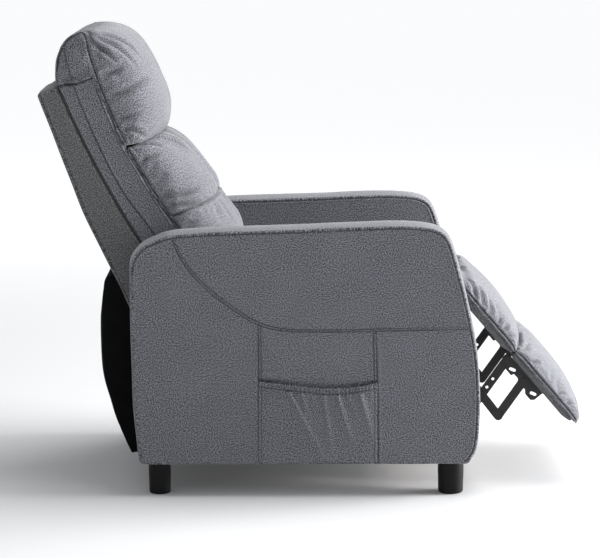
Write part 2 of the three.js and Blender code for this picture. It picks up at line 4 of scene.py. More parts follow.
import bmesh
import bpy
import numpy as np
from mathutils import Vector
from mathutils.bvhtree import BVHTree
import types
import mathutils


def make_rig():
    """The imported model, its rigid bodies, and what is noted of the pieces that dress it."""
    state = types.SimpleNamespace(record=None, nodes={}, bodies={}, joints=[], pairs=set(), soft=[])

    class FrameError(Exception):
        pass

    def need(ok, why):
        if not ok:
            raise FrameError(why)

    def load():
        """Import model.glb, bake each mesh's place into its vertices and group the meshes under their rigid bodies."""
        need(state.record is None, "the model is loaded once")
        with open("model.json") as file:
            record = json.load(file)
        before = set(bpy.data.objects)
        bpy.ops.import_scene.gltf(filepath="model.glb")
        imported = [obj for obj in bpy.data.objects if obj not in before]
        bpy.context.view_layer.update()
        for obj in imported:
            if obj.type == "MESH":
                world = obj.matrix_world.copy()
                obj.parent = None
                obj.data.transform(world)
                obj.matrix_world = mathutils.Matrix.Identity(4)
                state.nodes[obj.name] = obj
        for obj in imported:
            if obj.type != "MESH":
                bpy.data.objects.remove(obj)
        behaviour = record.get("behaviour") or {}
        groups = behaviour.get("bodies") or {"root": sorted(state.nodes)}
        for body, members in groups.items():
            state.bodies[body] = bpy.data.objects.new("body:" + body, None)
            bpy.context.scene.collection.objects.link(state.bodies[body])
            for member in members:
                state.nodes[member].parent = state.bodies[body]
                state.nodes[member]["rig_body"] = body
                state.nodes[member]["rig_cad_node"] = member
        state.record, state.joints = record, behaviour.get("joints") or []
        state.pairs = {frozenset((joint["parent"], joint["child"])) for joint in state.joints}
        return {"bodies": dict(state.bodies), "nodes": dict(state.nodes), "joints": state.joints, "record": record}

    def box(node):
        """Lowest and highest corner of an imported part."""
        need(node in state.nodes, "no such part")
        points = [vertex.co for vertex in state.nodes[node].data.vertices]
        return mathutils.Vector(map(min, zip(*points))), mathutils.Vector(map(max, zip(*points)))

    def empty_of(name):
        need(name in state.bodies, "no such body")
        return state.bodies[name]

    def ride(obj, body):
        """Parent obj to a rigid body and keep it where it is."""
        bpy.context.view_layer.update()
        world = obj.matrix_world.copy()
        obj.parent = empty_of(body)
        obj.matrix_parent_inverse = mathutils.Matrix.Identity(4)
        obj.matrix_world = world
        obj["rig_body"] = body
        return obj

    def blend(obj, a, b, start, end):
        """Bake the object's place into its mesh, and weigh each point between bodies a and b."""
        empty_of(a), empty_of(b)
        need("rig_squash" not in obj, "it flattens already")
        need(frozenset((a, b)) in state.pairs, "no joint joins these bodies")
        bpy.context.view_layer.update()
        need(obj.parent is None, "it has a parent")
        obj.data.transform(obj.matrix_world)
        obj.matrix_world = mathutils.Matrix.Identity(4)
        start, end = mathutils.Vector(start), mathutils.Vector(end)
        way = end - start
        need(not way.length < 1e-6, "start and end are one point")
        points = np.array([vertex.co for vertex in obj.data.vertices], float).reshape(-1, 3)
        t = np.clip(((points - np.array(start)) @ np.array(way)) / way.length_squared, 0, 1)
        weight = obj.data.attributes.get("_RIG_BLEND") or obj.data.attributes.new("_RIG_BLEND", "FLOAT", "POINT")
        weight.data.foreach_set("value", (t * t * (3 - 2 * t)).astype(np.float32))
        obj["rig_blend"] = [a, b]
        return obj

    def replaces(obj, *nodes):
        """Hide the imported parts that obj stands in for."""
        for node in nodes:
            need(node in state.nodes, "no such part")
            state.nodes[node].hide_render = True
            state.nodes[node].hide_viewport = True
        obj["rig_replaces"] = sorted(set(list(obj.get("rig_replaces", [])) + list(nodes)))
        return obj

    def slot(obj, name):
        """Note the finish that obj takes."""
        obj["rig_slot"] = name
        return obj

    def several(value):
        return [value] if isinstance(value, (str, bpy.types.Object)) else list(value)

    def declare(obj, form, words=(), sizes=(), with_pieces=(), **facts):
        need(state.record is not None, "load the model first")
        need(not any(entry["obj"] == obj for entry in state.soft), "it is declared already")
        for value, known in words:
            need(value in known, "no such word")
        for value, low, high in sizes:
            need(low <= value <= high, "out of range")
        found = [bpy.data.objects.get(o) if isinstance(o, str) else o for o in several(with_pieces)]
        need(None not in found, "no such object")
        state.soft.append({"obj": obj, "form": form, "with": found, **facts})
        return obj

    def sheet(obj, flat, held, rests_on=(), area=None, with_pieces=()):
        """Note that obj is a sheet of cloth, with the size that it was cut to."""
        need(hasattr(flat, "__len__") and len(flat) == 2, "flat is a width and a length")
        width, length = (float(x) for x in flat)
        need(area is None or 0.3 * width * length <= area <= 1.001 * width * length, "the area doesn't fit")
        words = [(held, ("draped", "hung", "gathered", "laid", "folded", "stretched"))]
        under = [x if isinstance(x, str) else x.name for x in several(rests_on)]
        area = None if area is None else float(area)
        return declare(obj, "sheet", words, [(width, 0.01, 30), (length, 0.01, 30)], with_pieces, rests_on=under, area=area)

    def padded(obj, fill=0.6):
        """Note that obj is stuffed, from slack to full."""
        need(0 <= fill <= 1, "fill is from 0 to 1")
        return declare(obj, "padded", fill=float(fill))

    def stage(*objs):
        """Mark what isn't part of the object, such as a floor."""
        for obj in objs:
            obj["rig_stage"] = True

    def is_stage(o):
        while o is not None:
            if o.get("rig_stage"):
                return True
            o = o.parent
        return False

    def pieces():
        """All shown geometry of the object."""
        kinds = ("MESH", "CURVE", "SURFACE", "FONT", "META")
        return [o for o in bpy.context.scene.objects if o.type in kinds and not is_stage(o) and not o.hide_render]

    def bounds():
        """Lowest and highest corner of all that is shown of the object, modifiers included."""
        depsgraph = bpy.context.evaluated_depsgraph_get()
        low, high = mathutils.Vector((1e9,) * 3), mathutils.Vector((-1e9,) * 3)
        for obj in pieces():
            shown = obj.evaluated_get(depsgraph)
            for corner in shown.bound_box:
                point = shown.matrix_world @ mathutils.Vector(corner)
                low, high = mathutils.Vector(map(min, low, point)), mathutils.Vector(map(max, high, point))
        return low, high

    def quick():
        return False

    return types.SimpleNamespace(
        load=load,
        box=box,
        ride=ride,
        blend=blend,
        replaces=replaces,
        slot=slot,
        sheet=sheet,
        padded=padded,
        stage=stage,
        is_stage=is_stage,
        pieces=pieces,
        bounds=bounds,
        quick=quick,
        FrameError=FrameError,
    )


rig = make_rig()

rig.load()
cad_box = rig.bounds()


# ------------------------------------------------------------------ studio
# A long-lens camera looks at the sitter's right side from a little above arm height.
# The chair stands on a pale sweep, lit by a big soft box in front of it and a pale room.

MM = 0.001
rear_foot_low, rear_foot_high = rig.box("rear_foot_left")
foot_line = (rear_foot_low.y + rear_foot_high.y) / 2


def place(x, u, z):
    """A point in metres from millimetres: across, forward of the rear feet, and up."""
    x, u, z = np.broadcast_arrays(np.asarray(x, float), u, z)
    return np.stack([x * MM, foot_line - u * MM, z * MM], axis=-1)


def aim(thing, target):
    direction = Vector(target) - thing.location
    thing.rotation_euler = direction.to_track_quat("-Z", "Y").to_euler()


lens = bpy.data.cameras.new("studio_camera")
lens.lens = 140
lens.sensor_width = 36
lens.clip_end = 200
camera = bpy.data.objects.new("studio_camera", lens)
camera.location = Vector(place(-5390, 270, 1267.5))
camera_pitch, camera_yaw = math.radians(8.75), math.radians(0.49)
look = Vector((
    math.cos(camera_yaw) * math.cos(camera_pitch),
    -math.sin(camera_yaw) * math.cos(camera_pitch),
    -math.sin(camera_pitch),
))
camera.rotation_euler = look.to_track_quat("-Z", "Y").to_euler()
bpy.context.scene.collection.objects.link(camera)
bpy.context.scene.camera = camera
bpy.context.scene.view_settings.view_transform = "Standard"


def soft_box(name, location, target, size, power):
    light = bpy.data.lights.new(name, "AREA")
    light.shape = "RECTANGLE"
    light.size, light.size_y = size
    light.energy = power
    lamp = bpy.data.objects.new(name, light)
    lamp.location = location
    aim(lamp, target)
    bpy.context.scene.collection.objects.link(lamp)


soft_box("front_box", (0.1, -3.3, 1.05), (0, 0, 0.6), (1.9, 1.7), 262)
soft_box("top_box", (0.3, -0.6, 3.4), (0, 0, 0.4), (2.6, 2.2), 95)
soft_box("side_fill", (-3.2, 0.6, 2.0), (0, 0, 0.5), (2.0, 2.0), 6)

room = bpy.data.worlds.new("pale_room")
room.use_nodes = True
room_light = room.node_tree.nodes["Background"].inputs
room_light["Color"].default_value = (0.96, 0.98, 1.0, 1)
room_light["Strength"].default_value = 0.50
bpy.context.scene.world = room


def wire_up(tree, kind, settings=None, **links):
    """Adds a node, sets its properties, and links or sets its inputs by name."""
    node = tree.nodes.new(kind)
    for key, value in (settings or {}).items():
        setattr(node, key, value)
    for label, source in links.items():
        socket = node.inputs[int(label[1:])] if label[1:].isdigit() else node.inputs[label.replace("_", " ")]
        if isinstance(source, bpy.types.NodeSocket):
            tree.links.new(source, socket)
        else:
            socket.default_value = source
    return node


def new_surface(name, **values):
    """A material, its node tree and its surface node, with plain values set by socket name."""
    material = bpy.data.materials.new(name)
    material.use_nodes = True
    surface = material.node_tree.nodes["Principled BSDF"]
    for label, value in values.items():
        surface.inputs[label.replace("_", " ")].default_value = value
    return material, material.node_tree, surface


floor_reach, shade_end, glow_end = 80, 0.9, 5.0
floor_mesh = bpy.data.meshes.new("studio_floor")
floor_corners = [(x * floor_reach, y * floor_reach, 0) for x, y in ((-1, -1), (1, -1), (1, 1), (-1, 1))]
floor_mesh.from_pydata(floor_corners, [], [(0, 1, 2, 3)])
studio_floor = bpy.data.objects.new("studio_floor", floor_mesh)
bpy.context.scene.collection.objects.link(studio_floor)
floor_paint, sweep, sweep_surface = new_surface(
    "floor_paint", Base_Color=(0.71, 0.71, 0.715, 1), Roughness=0.6, Specular_IOR_Level=0.1,
    Emission_Color=(1, 1, 1, 1))
away = wire_up(sweep, "ShaderNodeVectorMath", {"operation": "LENGTH"},
               i0=wire_up(sweep, "ShaderNodeTexCoord").outputs["Object"])
glow = wire_up(sweep, "ShaderNodeMapRange", {"interpolation_type": "SMOOTHSTEP"}, Value=away.outputs["Value"],
               From_Min=shade_end, From_Max=glow_end, To_Min=0.0, To_Max=0.61)
sweep.links.new(glow.outputs[0], sweep_surface.inputs["Emission Strength"])
floor_mesh.materials.append(floor_paint)
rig.stage(studio_floor)


# ------------------------------------------------------------------ arms
# Each arm is a plywood box wrapped in wadding and cloth. One panel covers each face, and a
# band runs up the back, along the top and down the front; its seams are double topstitched.

# Their cloth is a linen-look polyester: grey threads of mixed shades in a plain weave. Shade is
# painted into the cloth's colour along its creases and seams.


def node_group(name, inputs, outputs):
    """An empty shader group with named sockets, given as (name, default) pairs."""
    group = bpy.data.node_groups.new(name, "ShaderNodeTree")
    for label, default in inputs:
        kind = "NodeSocketColor" if isinstance(default, tuple) else "NodeSocketFloat"
        socket = group.interface.new_socket(label, in_out="INPUT", socket_type=kind)
        socket.default_value = default
    for label, kind in outputs:
        group.interface.new_socket(label, in_out="OUTPUT", socket_type=kind)
    start, end = group.nodes.new("NodeGroupInput"), group.nodes.new("NodeGroupOutput")
    return group, start.outputs, end.inputs


def combine(tree, operation, first, second):
    return wire_up(tree, "ShaderNodeMath", {"operation": operation}, i0=first, i1=second).outputs[0]


def mix_colours(tree, factor, first, second, way="MIX"):
    settings = {"data_type": "RGBA", "blend_type": way}
    return wire_up(tree, "ShaderNodeMix", settings, Factor=factor, i6=first, i7=second).outputs[2]


def roughen(tree, surface, strength, distance, height):
    """A bump under a surface, from a height."""
    bump = wire_up(tree, "ShaderNodeBump", Strength=strength, Distance=distance, Height=height)
    tree.links.new(bump.outputs[0], surface.inputs["Normal"])


def build_melange():
    """Colour and height of a plain weave of mixed grey threads, laid out on the cloth's UV map, with painted shade
    from the crease attribute multiplied into the colour.
    """
    group, given, result = node_group(
        "melange_weave",
        [("Dark Thread", (0.05, 0.05, 0.055, 1)), ("Light Thread", (0.25, 0.25, 0.27, 1)),
         ("Threads per Metre", 620.0), ("Streak", 0.5), ("Crease Shade", 0.6)],
        [("Color", "NodeSocketColor"), ("Height", "NodeSocketFloat")],
    )
    flat = wire_up(group, "ShaderNodeUVMap").outputs["UV"]

    def streaks(stretch, seed):
        mapped = wire_up(group, "ShaderNodeMapping", Vector=flat, Scale=stretch, Location=(seed, seed, 0))
        noise = wire_up(group, "ShaderNodeTexNoise", Vector=mapped.outputs[0], Scale=1.0, Detail=2.0)
        return noise.outputs["Fac"]

    def swing(value, strength):
        return combine(group, "MULTIPLY", combine(group, "SUBTRACT", value, 0.5), strength)

    warp, weft = streaks((680, 200, 1), 3.1), streaks((200, 680, 1), 7.7)
    threads = combine(group, "SUBTRACT", combine(group, "ADD", warp, weft), 1.0)
    threads = combine(group, "MULTIPLY", threads, given["Streak"])
    flecks, drift = swing(streaks((470, 470, 1), 1.3), 4.2), swing(streaks((14, 14, 1), 5.9), 0.12)
    shade = combine(group, "ADD", combine(group, "ADD", threads, flecks), combine(group, "ADD", drift, 0.45))
    shade = wire_up(group, "ShaderNodeClamp", Value=shade).outputs[0]
    mixed = mix_colours(group, shade, given["Dark Thread"], given["Light Thread"])
    # Painted shade: the crease attribute, set where seams and folds are pressed, darkens the colour.
    crease = wire_up(group, "ShaderNodeAttribute", {"attribute_name": "crease"}).outputs["Fac"]
    keep = combine(group, "SUBTRACT", 1.0, combine(group, "MULTIPLY", crease, given["Crease Shade"]))
    grey = wire_up(group, "ShaderNodeCombineColor", Red=keep, Green=keep, Blue=keep).outputs[0]
    group.links.new(mix_colours(group, 1.0, mixed, grey, "MULTIPLY"), result["Color"])

    apart = wire_up(group, "ShaderNodeSeparateXYZ", Vector=flat)
    pitch = combine(group, "MULTIPLY", given["Threads per Metre"], 2 * math.pi)
    across, down = (combine(group, "SINE", combine(group, "MULTIPLY", apart.outputs[k], pitch), 0.0)
                    for k in (0, 1))
    weave = combine(group, "MULTIPLY", across, down)
    weave, fuzz = combine(group, "MULTIPLY", weave, 0.25), combine(group, "MULTIPLY", shade, 0.9)
    group.links.new(combine(group, "ADD", weave, fuzz), result["Height"])
    return group


melange_weave = build_melange()


def cloth_material(name, dark, light, streak=1.0):
    material, tree, surface = new_surface(
        name, Roughness=0.93, Sheen_Weight=0.25, Sheen_Roughness=0.45, Specular_IOR_Level=0.25)
    weave = wire_up(tree, "ShaderNodeGroup", {"node_tree": melange_weave}, Dark_Thread=dark,
                    Light_Thread=light, Streak=streak, Crease_Shade=0.8)
    tree.links.new(weave.outputs["Color"], surface.inputs["Base Color"])
    roughen(tree, surface, 0.2, 0.001, weave.outputs["Height"])
    return material


grey_cloth = cloth_material("grey_melange", (0.010, 0.010, 0.012, 1), (0.272, 0.275, 0.306, 1))


# A cover is cut as flat panels, which are sewn edge to edge into one closed skin. Seams are
# then pressed into it, with shade painted into their grooves, and its wadding is a little uneven.


def even_line(points, count, smooth=True):
    """Evenly spaced points along a line that passes smoothly, or straight, through a few."""
    p = np.asarray(points, float)
    if smooth and len(p) > 2:
        padded = np.vstack([2 * p[0] - p[1], p, 2 * p[-1] - p[-2]])
        t = np.linspace(0, 1, 12, endpoint=False)[:, None]
        dense = []
        for a, b, c, d in zip(padded[:-3], padded[1:-2], padded[2:-1], padded[3:]):
            dense.append(0.5 * (2 * b + (c - a) * t + (2 * a - 5 * b + 4 * c - d) * t**2
                                + (3 * b - 3 * c + d - a) * t**3))
        p = np.vstack(dense + [p[-1:]])
    run = np.concatenate([[0], np.cumsum(np.linalg.norm(np.diff(p, axis=0), axis=1))])
    wanted = np.linspace(0, run[-1], count)
    return np.stack([np.interp(wanted, run, p[:, k]) for k in range(p.shape[1])], axis=1)


class Cover:
    """Flat panels of cloth, collected and then sewn into one closed skin."""

    def __init__(self):
        self.points, self.faces, self.flat, self.count = [], [], [], 0

    def panel(self, grid, flat):
        """Adds a grid of points (rows, columns, 3), with its flat layout in metres."""
        rows, columns = grid.shape[:2]
        index = self.count + np.arange(rows * columns).reshape(rows, columns)
        quads = np.stack([index[:-1, :-1], index[1:, :-1], index[1:, 1:], index[:-1, 1:]], axis=-1)
        self.points.append(grid.reshape(-1, 3))
        self.faces.append(quads.reshape(-1, 4))
        self.flat.append(flat.reshape(-1, 2))
        self.count += rows * columns

    def sew(self, name, material):
        points, faces, flat = (np.vstack(part) for part in (self.points, self.faces, self.flat))
        mesh = bpy.data.meshes.new(name)
        mesh.from_pydata(points.tolist(), [], faces.tolist())
        layout = mesh.uv_layers.new(name="UVMap")
        layout.data.foreach_set("uv", flat[faces.reshape(-1)].reshape(-1).astype(np.float32))
        skin = bmesh.new()
        skin.from_mesh(mesh)
        bmesh.ops.remove_doubles(skin, verts=skin.verts, dist=2e-5)
        bmesh.ops.dissolve_degenerate(skin, edges=skin.edges, dist=1e-6)
        bmesh.ops.recalc_face_normals(skin, faces=skin.faces)
        skin.to_mesh(mesh)
        skin.free()
        mesh.polygons.foreach_set("use_smooth", [True] * len(mesh.polygons))
        mesh.materials.append(material)
        piece = bpy.data.objects.new(name, mesh)
        bpy.context.scene.collection.objects.link(piece)
        return piece


def read_field(collection, field):
    values = np.empty(len(collection) * 3, np.float32)
    collection.foreach_get(field, values)
    return values.reshape(-1, 3).astype(float)


def read_points(piece):
    return read_field(piece.data.vertices, "co")


def read_normals(piece):
    return read_field(piece.data.vertex_normals, "vector")


def write_points(piece, points):
    piece.data.vertices.foreach_set("co", points.reshape(-1).astype(np.float32))
    piece.data.update()


def line_distance(points, line, reach=90):
    """How far each point is from a line, and how far along the line the nearest place is."""
    line = np.asarray(line)
    length = np.linalg.norm(np.diff(line, axis=0), axis=1).sum()
    samples = even_line(line, max(3, int(length / MM / 1.5)), smooth=False)
    run = np.linspace(0, length, len(samples))
    best, along = np.full(len(points), 1e9), np.zeros(len(points))
    low, high = samples.min(axis=0) - reach * MM, samples.max(axis=0) + reach * MM
    near = np.flatnonzero(((points > low) & (points < high)).all(axis=1))
    steps = np.diff(samples, axis=0)
    squares = np.maximum((steps**2).sum(axis=1), 1e-18)
    for some in np.array_split(near, max(1, len(near) // 4000)):
        p = points[some]
        gap = (p**2).sum(axis=1)[:, None] + (samples**2).sum(axis=1)[None] - 2 * p @ samples.T
        nearest = gap.argmin(axis=1)
        for offset in (-1, 0):
            k = np.clip(nearest + offset, 0, len(steps) - 1)
            t = np.clip(((p - samples[k]) * steps[k]).sum(axis=1) / squares[k], 0, 1)
            d = np.linalg.norm(p - samples[k] - t[:, None] * steps[k], axis=1)
            closer = d < best[some]
            best[some[closer]] = d[closer]
            along[some[closer]] = (run[k] + t * np.sqrt(squares[k]))[closer]
    return best, along


def refine(piece, lines, reach):
    """Divides the faces near some lines, so that a narrow seam has points to sink."""
    points = read_points(piece)
    near = np.zeros(len(points), bool)
    for line in lines:
        near |= line_distance(points, line)[0] < reach * MM
    skin = bmesh.new()
    skin.from_mesh(piece.data)
    edges = [e for e in skin.edges if near[e.verts[0].index] and near[e.verts[1].index]]
    bmesh.ops.subdivide_edges(skin, edges=edges, cuts=1, use_grid_fill=True)
    skin.to_mesh(piece.data)
    skin.free()


def nearest_line(points, lines):
    nearest = np.full(len(points), 1e9)
    for line in lines:
        nearest = np.minimum(nearest, line_distance(points, line)[0])
    return nearest / MM


def shade_crease(piece, amount):
    """Paints shade into a cover's colour along a crease, where it is darker than the painted shade it has already."""
    marks = piece.data.attributes
    if "crease" not in marks:
        marks.new("crease", "FLOAT", "POINT")
    crease = np.zeros(len(amount), np.float32)
    marks["crease"].data.foreach_get("value", crease)
    marks["crease"].data.foreach_set("value", np.maximum(crease, amount).astype(np.float32))


def press(piece, lines, depth, width, puff=0.0, shade=1.0):
    """Sinks lines into a cover, with a low roll on either side, and paints shade into its colour along the groove."""
    points, normals = read_points(piece), read_normals(piece)
    d = nearest_line(points, lines)
    push = -depth * np.exp(-((d / width) ** 2)) + puff * np.exp(-(((d - 2.6 * width) / (1.8 * width)) ** 2))
    write_points(piece, points + normals * (push * MM)[:, None])
    shade_crease(piece, shade * np.exp(-((d / (0.75 * width)) ** 2)))


def undulate(piece, height, wavelength, seed):
    """The slow unevenness of wadding under cloth."""
    rng = np.random.default_rng(seed)
    points, normals = read_points(piece), read_normals(piece)
    rise = np.zeros(len(points))
    for _ in range(7):
        way = rng.normal(size=3)
        way *= 2 * math.pi / (np.linalg.norm(way) * wavelength * MM * rng.uniform(0.6, 1.5))
        rise += np.sin(points @ way + rng.uniform(0, 6.3))
    write_points(piece, points + normals * (rise * height * MM / 7)[:, None])


def stretch_between(bottom, front, top, rear):
    """A grid of points that fills the space between four edge lines."""
    s = np.linspace(0, 1, len(bottom))[:, None, None]
    t = np.linspace(0, 1, len(rear))[None, :, None]
    flat = (1 - t) * bottom[:, None] + t * top[:, None] + (1 - s) * rear[None] + s * front[None]
    corners = ((1 - s) * (1 - t) * bottom[0] + s * (1 - t) * bottom[-1]
               + (1 - s) * t * top[0] + s * t * top[-1])
    return flat - corners


def padded_slab(name, material, edges, x_middle, half, radii, crowns, band=9, turns=6):
    """A closed cover whose two big faces are alike: edge lines bottom, front, top, rear.

    radii round off the rims along each edge line, and crowns bulge the band between the faces.
    """
    bottom, front, top, rear = edges
    loop = np.vstack([bottom[:-1], front[:-1], top[::-1][:-1], rear[::-1][:-1]])
    sizes = [len(bottom) - 1, len(front) - 1, len(top) - 1, len(rear) - 1]

    def around(values):
        raw = np.concatenate([np.full(n, v, float) for n, v in zip(sizes, values)])
        kernel = np.ones(11) / 11
        return np.convolve(np.concatenate([raw[-5:], raw, raw[:5]]), kernel, mode="valid")

    radius, crown = around(radii), around(crowns)
    ahead = np.roll(loop, -1, axis=0) - np.roll(loop, 1, axis=0)
    ahead /= np.linalg.norm(ahead, axis=1)[:, None]
    inward = np.stack([-ahead[:, 1], ahead[:, 0]], axis=1)
    run = np.concatenate([[0], np.cumsum(np.linalg.norm(np.diff(loop, axis=0), axis=1))])
    close = lambda ring: np.vstack([ring, ring[:1]])
    rings, heights = [], []
    for angle in np.linspace(math.pi / 2, 0, turns + 1):
        rings.append(loop + inward * (radius * (1 - math.cos(angle)))[:, None])
        heights.append(half - radius * (1 - math.sin(angle)))
    for fraction in np.linspace(1, -1, band + 2)[1:-1]:
        rings.append(loop - inward * (crown * (1 - fraction**2))[:, None])
        heights.append((half - radius) * fraction)
    for angle in np.linspace(0, math.pi / 2, turns + 1):
        rings.append(loop + inward * (radius * (1 - math.cos(angle)))[:, None])
        heights.append(-half + radius * (1 - math.sin(angle)))
    grid = np.stack([
        close(place(x_middle + h, ring[:, 0], ring[:, 1])) for ring, h in zip(rings, heights)
    ])
    length = np.append(run, run[-1] + np.linalg.norm(loop[0] - loop[-1])) * MM
    girth = np.stack([np.append(h, h[:1]) for h in heights]) * MM
    cover = Cover()
    cover.panel(grid, np.stack([np.broadcast_to(length, girth.shape), girth], axis=-1))

    inner = rings[0]
    marks = np.cumsum([0] + sizes)
    wrapped = close(inner)
    b, f = wrapped[: marks[1] + 1], wrapped[marks[1]: marks[2] + 1]
    t, r = wrapped[marks[2]: marks[3] + 1][::-1], wrapped[marks[3]: marks[4] + 1][::-1]
    face = stretch_between(b, f, t, r)
    for side in (1, -1):
        cover.panel(place(x_middle + side * half, face[..., 0], face[..., 1]), face * MM)
    return cover.sew(name, material)


arm_middle, arm_half = 292.5, 47.5
long_count, up_count = 138, 100
rim_inset = 7.5
arm_bottom = even_line([(-34, 74), (300, 74), (681, 74)], long_count)
arm_rear = even_line(
    [(-34, 74), (-40.5, 77), (-44, 84), (-47, 110), (-57, 234), (-60, 427), (-60, 505)], up_count)
arm_top = even_line(
    [(-60, 505), (-56, 532), (-36, 559), (-4, 576), (40, 588), (154, 595), (314, 600), (495, 607),
     (570, 606), (612, 599), (634, 585), (645, 566), (655, 536)], long_count)
arm_front = even_line(
    [(681, 74), (688, 77), (693, 84), (707, 118), (712, 203), (705, 319), (681, 439), (655, 536)],
    up_count)
panel_seam = even_line(
    [(34, 577), (45, 548), (73, 504), (113, 462), (160, 426), (205, 396), (250, 379), (300, 373),
     (400, 372), (540, 375), (686, 378)], 120)
pocket_rear = even_line([(221, 388), (222, 240), (224, 76)], 30)
pocket_front = even_line([(480, 375), (484, 240), (487, 76)], 30)


def on_side(line, x):
    return place(x, line[:, 0], line[:, 1])


def rim_line():
    """A line on an arm's face, inside its top and front edges, which starts at its rear edge."""
    edge = np.vstack([arm_rear[up_count - 11:-1], arm_top[:-1], arm_front[::-1]])
    ahead = np.gradient(edge, axis=0)
    ahead /= np.linalg.norm(ahead, axis=1)[:, None]
    inset = rim_inset * np.clip((np.arange(len(edge)) + 4) / 18, 0, 1)[:, None]
    return edge + np.stack([ahead[:, 1], -ahead[:, 0]], axis=1) * inset


def fit_cover(piece, body, node, slot, fill):
    """Fixes a padded cover to its moving part, in place of the plain solid."""
    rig.ride(piece, body)
    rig.replaces(piece, node)
    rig.slot(piece, slot)
    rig.padded(piece, fill=fill)


def arm_cover(side_name, side):
    piece = padded_slab(
        f"arm_upholstery_{side_name}", grey_cloth, (arm_bottom, arm_front, arm_top, arm_rear),
        side * arm_middle, arm_half, radii=(4, 7, 7, 10), crowns=(0, 3, 4, 2))
    outer, inner = side * (arm_middle + arm_half), side * (arm_middle - arm_half)
    rim = rim_line()
    seams = [on_side(rim, outer), on_side(rim, inner), on_side(panel_seam, outer)]
    if side < 0:
        seams += [on_side(pocket_rear, outer), on_side(pocket_front, outer)]
    undulate(piece, 1.3, 170, 11 + side)
    refine(piece, seams, 14)
    refine(piece, seams, 10)
    # The seams and topstitch rows are sunk with painted shade in their grooves.
    press(piece, seams, depth=1.6, width=1.6, puff=0.8, shade=1.0)
    stitch_rows = [on_side((panel_seam + (3.4, 4.8))[2:-2], outer)]
    if side < 0:
        row_gap = np.array([6.0, 0])
        stitch_rows += [on_side(pocket_rear + row_gap, outer), on_side(pocket_front - row_gap, outer)]
    press(piece, stitch_rows, depth=1.0, width=1.7, shade=1.0)
    fit_cover(piece, "base", f"arm_cover_{side_name}", "fabric", 0.9)
    return piece, stitch_rows


arm_left, arm_left_rows = arm_cover("left", 1)
arm_right, arm_right_rows = arm_cover("right", -1)


# ------------------------------------------------------------------ back cover
# The rear half of the back is a wooden frame in a darker cover, which has a welt round its
# rear edge. The cover is stapled to the frame, and the seat back's cushions are sewn to it.

dark_cloth = cloth_material("dark_melange", (0.026, 0.026, 0.028, 1), (0.205, 0.205, 0.210, 1), streak=1.2)
slab_rear = even_line([(-64, 400), (-113, 505), (-166, 617), (-218, 755), (-266, 882)], 90)
slab_top = even_line([(-266, 882), (-262, 889), (-240, 898), (-221, 903)], 16)
slab_front = even_line([(8, 482), (-62, 590), (-125, 700), (-178, 806), (-221, 903)], 90)
slab_bottom = even_line([(-64, 400), (-28, 441), (8, 482)], 16)
back_slab = padded_slab(
    "back_slab_cover", dark_cloth, (slab_bottom, slab_front, slab_top, slab_rear), 0, 232,
    radii=(4, 5, 8, 7), crowns=(0, 0, 3, 4), band=60)
welts = [on_side(slab_rear + (6, 3), x) for x in (-232, 232)]
undulate(back_slab, 2.2, 190, 5)
refine(back_slab, welts, 8)
# The welts and the join with the gusset are sunk with painted shade in their grooves.
press(back_slab, welts, depth=1.2, width=1.5, puff=0.6, shade=0.8)
press(back_slab, [on_side(slab_front, x) for x in (-231, 231)], depth=2.0, width=4.0)
fit_cover(back_slab, "back", "back_cover", "dark_fabric", 0.95)


# ------------------------------------------------------------------ back cushions
# A gusset joins the cover to two stuffed puffs: a headrest, and a lumbar puff with a tuft and
# three panels. Each is blown up in a cloth simulation, then its seams are topstitched.


def puffed(name, material, lines, half, bow=3, rows=84, columns=96, sharp=2.7, blunt=2.1):
    """A stuffed pillow, from matching points of its side seam, its crown and its hidden base."""
    run = even_line(np.array([np.ravel(three) for three in lines], float), rows)
    side, crown, base = run[:, 0:2], run[:, 2:4], run[:, 4:6]
    x = half * np.sin(np.linspace(-math.pi / 2, math.pi / 2, columns))
    lift = np.clip(1 - np.abs(x / half) ** sharp, 0, 1) ** (1 / blunt)
    outer = side[:, None] + (crown - side)[:, None] * lift[None, :, None]
    cover = Cover()
    skin = place(x[None], outer[..., 0], outer[..., 1])
    hop = np.linalg.norm(np.diff(skin, axis=0), axis=2)
    length = np.vstack([np.zeros((1, columns)), np.cumsum(hop, axis=0)])
    hop = np.linalg.norm(np.diff(skin, axis=1), axis=2)
    width = np.hstack([np.zeros((rows, 1)), np.cumsum(hop, axis=1)])
    cover.panel(skin, np.stack([width, length], axis=-1))
    cover.panel(place(x[None], base[:, None, 0], base[:, None, 1]),
                np.stack(np.broadcast_arrays(x[None] * MM, length[:, :1]), axis=-1))
    s = np.linspace(0, 1, 14)[None, :, None]
    panel = side[:, None] * (1 - s) + base[:, None] * s
    bulge = bow * np.sin(math.pi * s[..., 0]) * np.clip(
        np.linalg.norm(side - base, axis=1) / 40, 0, 1)[:, None]
    for way in (-1, 1):
        cover.panel(place(way * (half + bulge), panel[..., 0], panel[..., 1]), panel * MM)
    piece = cover.sew(name, material)
    return piece, skin


# The covers are blown up over this many frames.
swell_frames = 20


def blow_up(piece, seams, reach, ease, force):
    """Adds the cloth that swells a cover, held along its seams and cut wider by its ease."""
    weight = np.round(np.clip(1.6 - nearest_line(read_points(piece), seams) / reach, 0, 1), 1)
    group = piece.vertex_groups.new(name="held")
    for level in np.unique(weight):
        if level > 0:
            group.add(np.flatnonzero(weight == level).tolist(), float(level), "REPLACE")
    cloth = piece.modifiers.new("swell", "CLOTH")
    settings = cloth.settings
    settings.quality = 6
    settings.mass = 0.25
    settings.air_damping = 4
    settings.tension_stiffness = settings.compression_stiffness = 12
    settings.shear_stiffness = 6
    settings.bending_stiffness = 0.9
    settings.use_pressure = True
    settings.uniform_pressure_force = 4.0 * force
    settings.shrink_min = -ease
    settings.vertex_group_mass = "held"
    settings.pin_stiffness = 1
    settings.effector_weights.gravity = 0
    cloth.collision_settings.use_collision = False
    cloth.collision_settings.use_self_collision = False
    cloth.point_cache.frame_start, cloth.point_cache.frame_end = 1, swell_frames


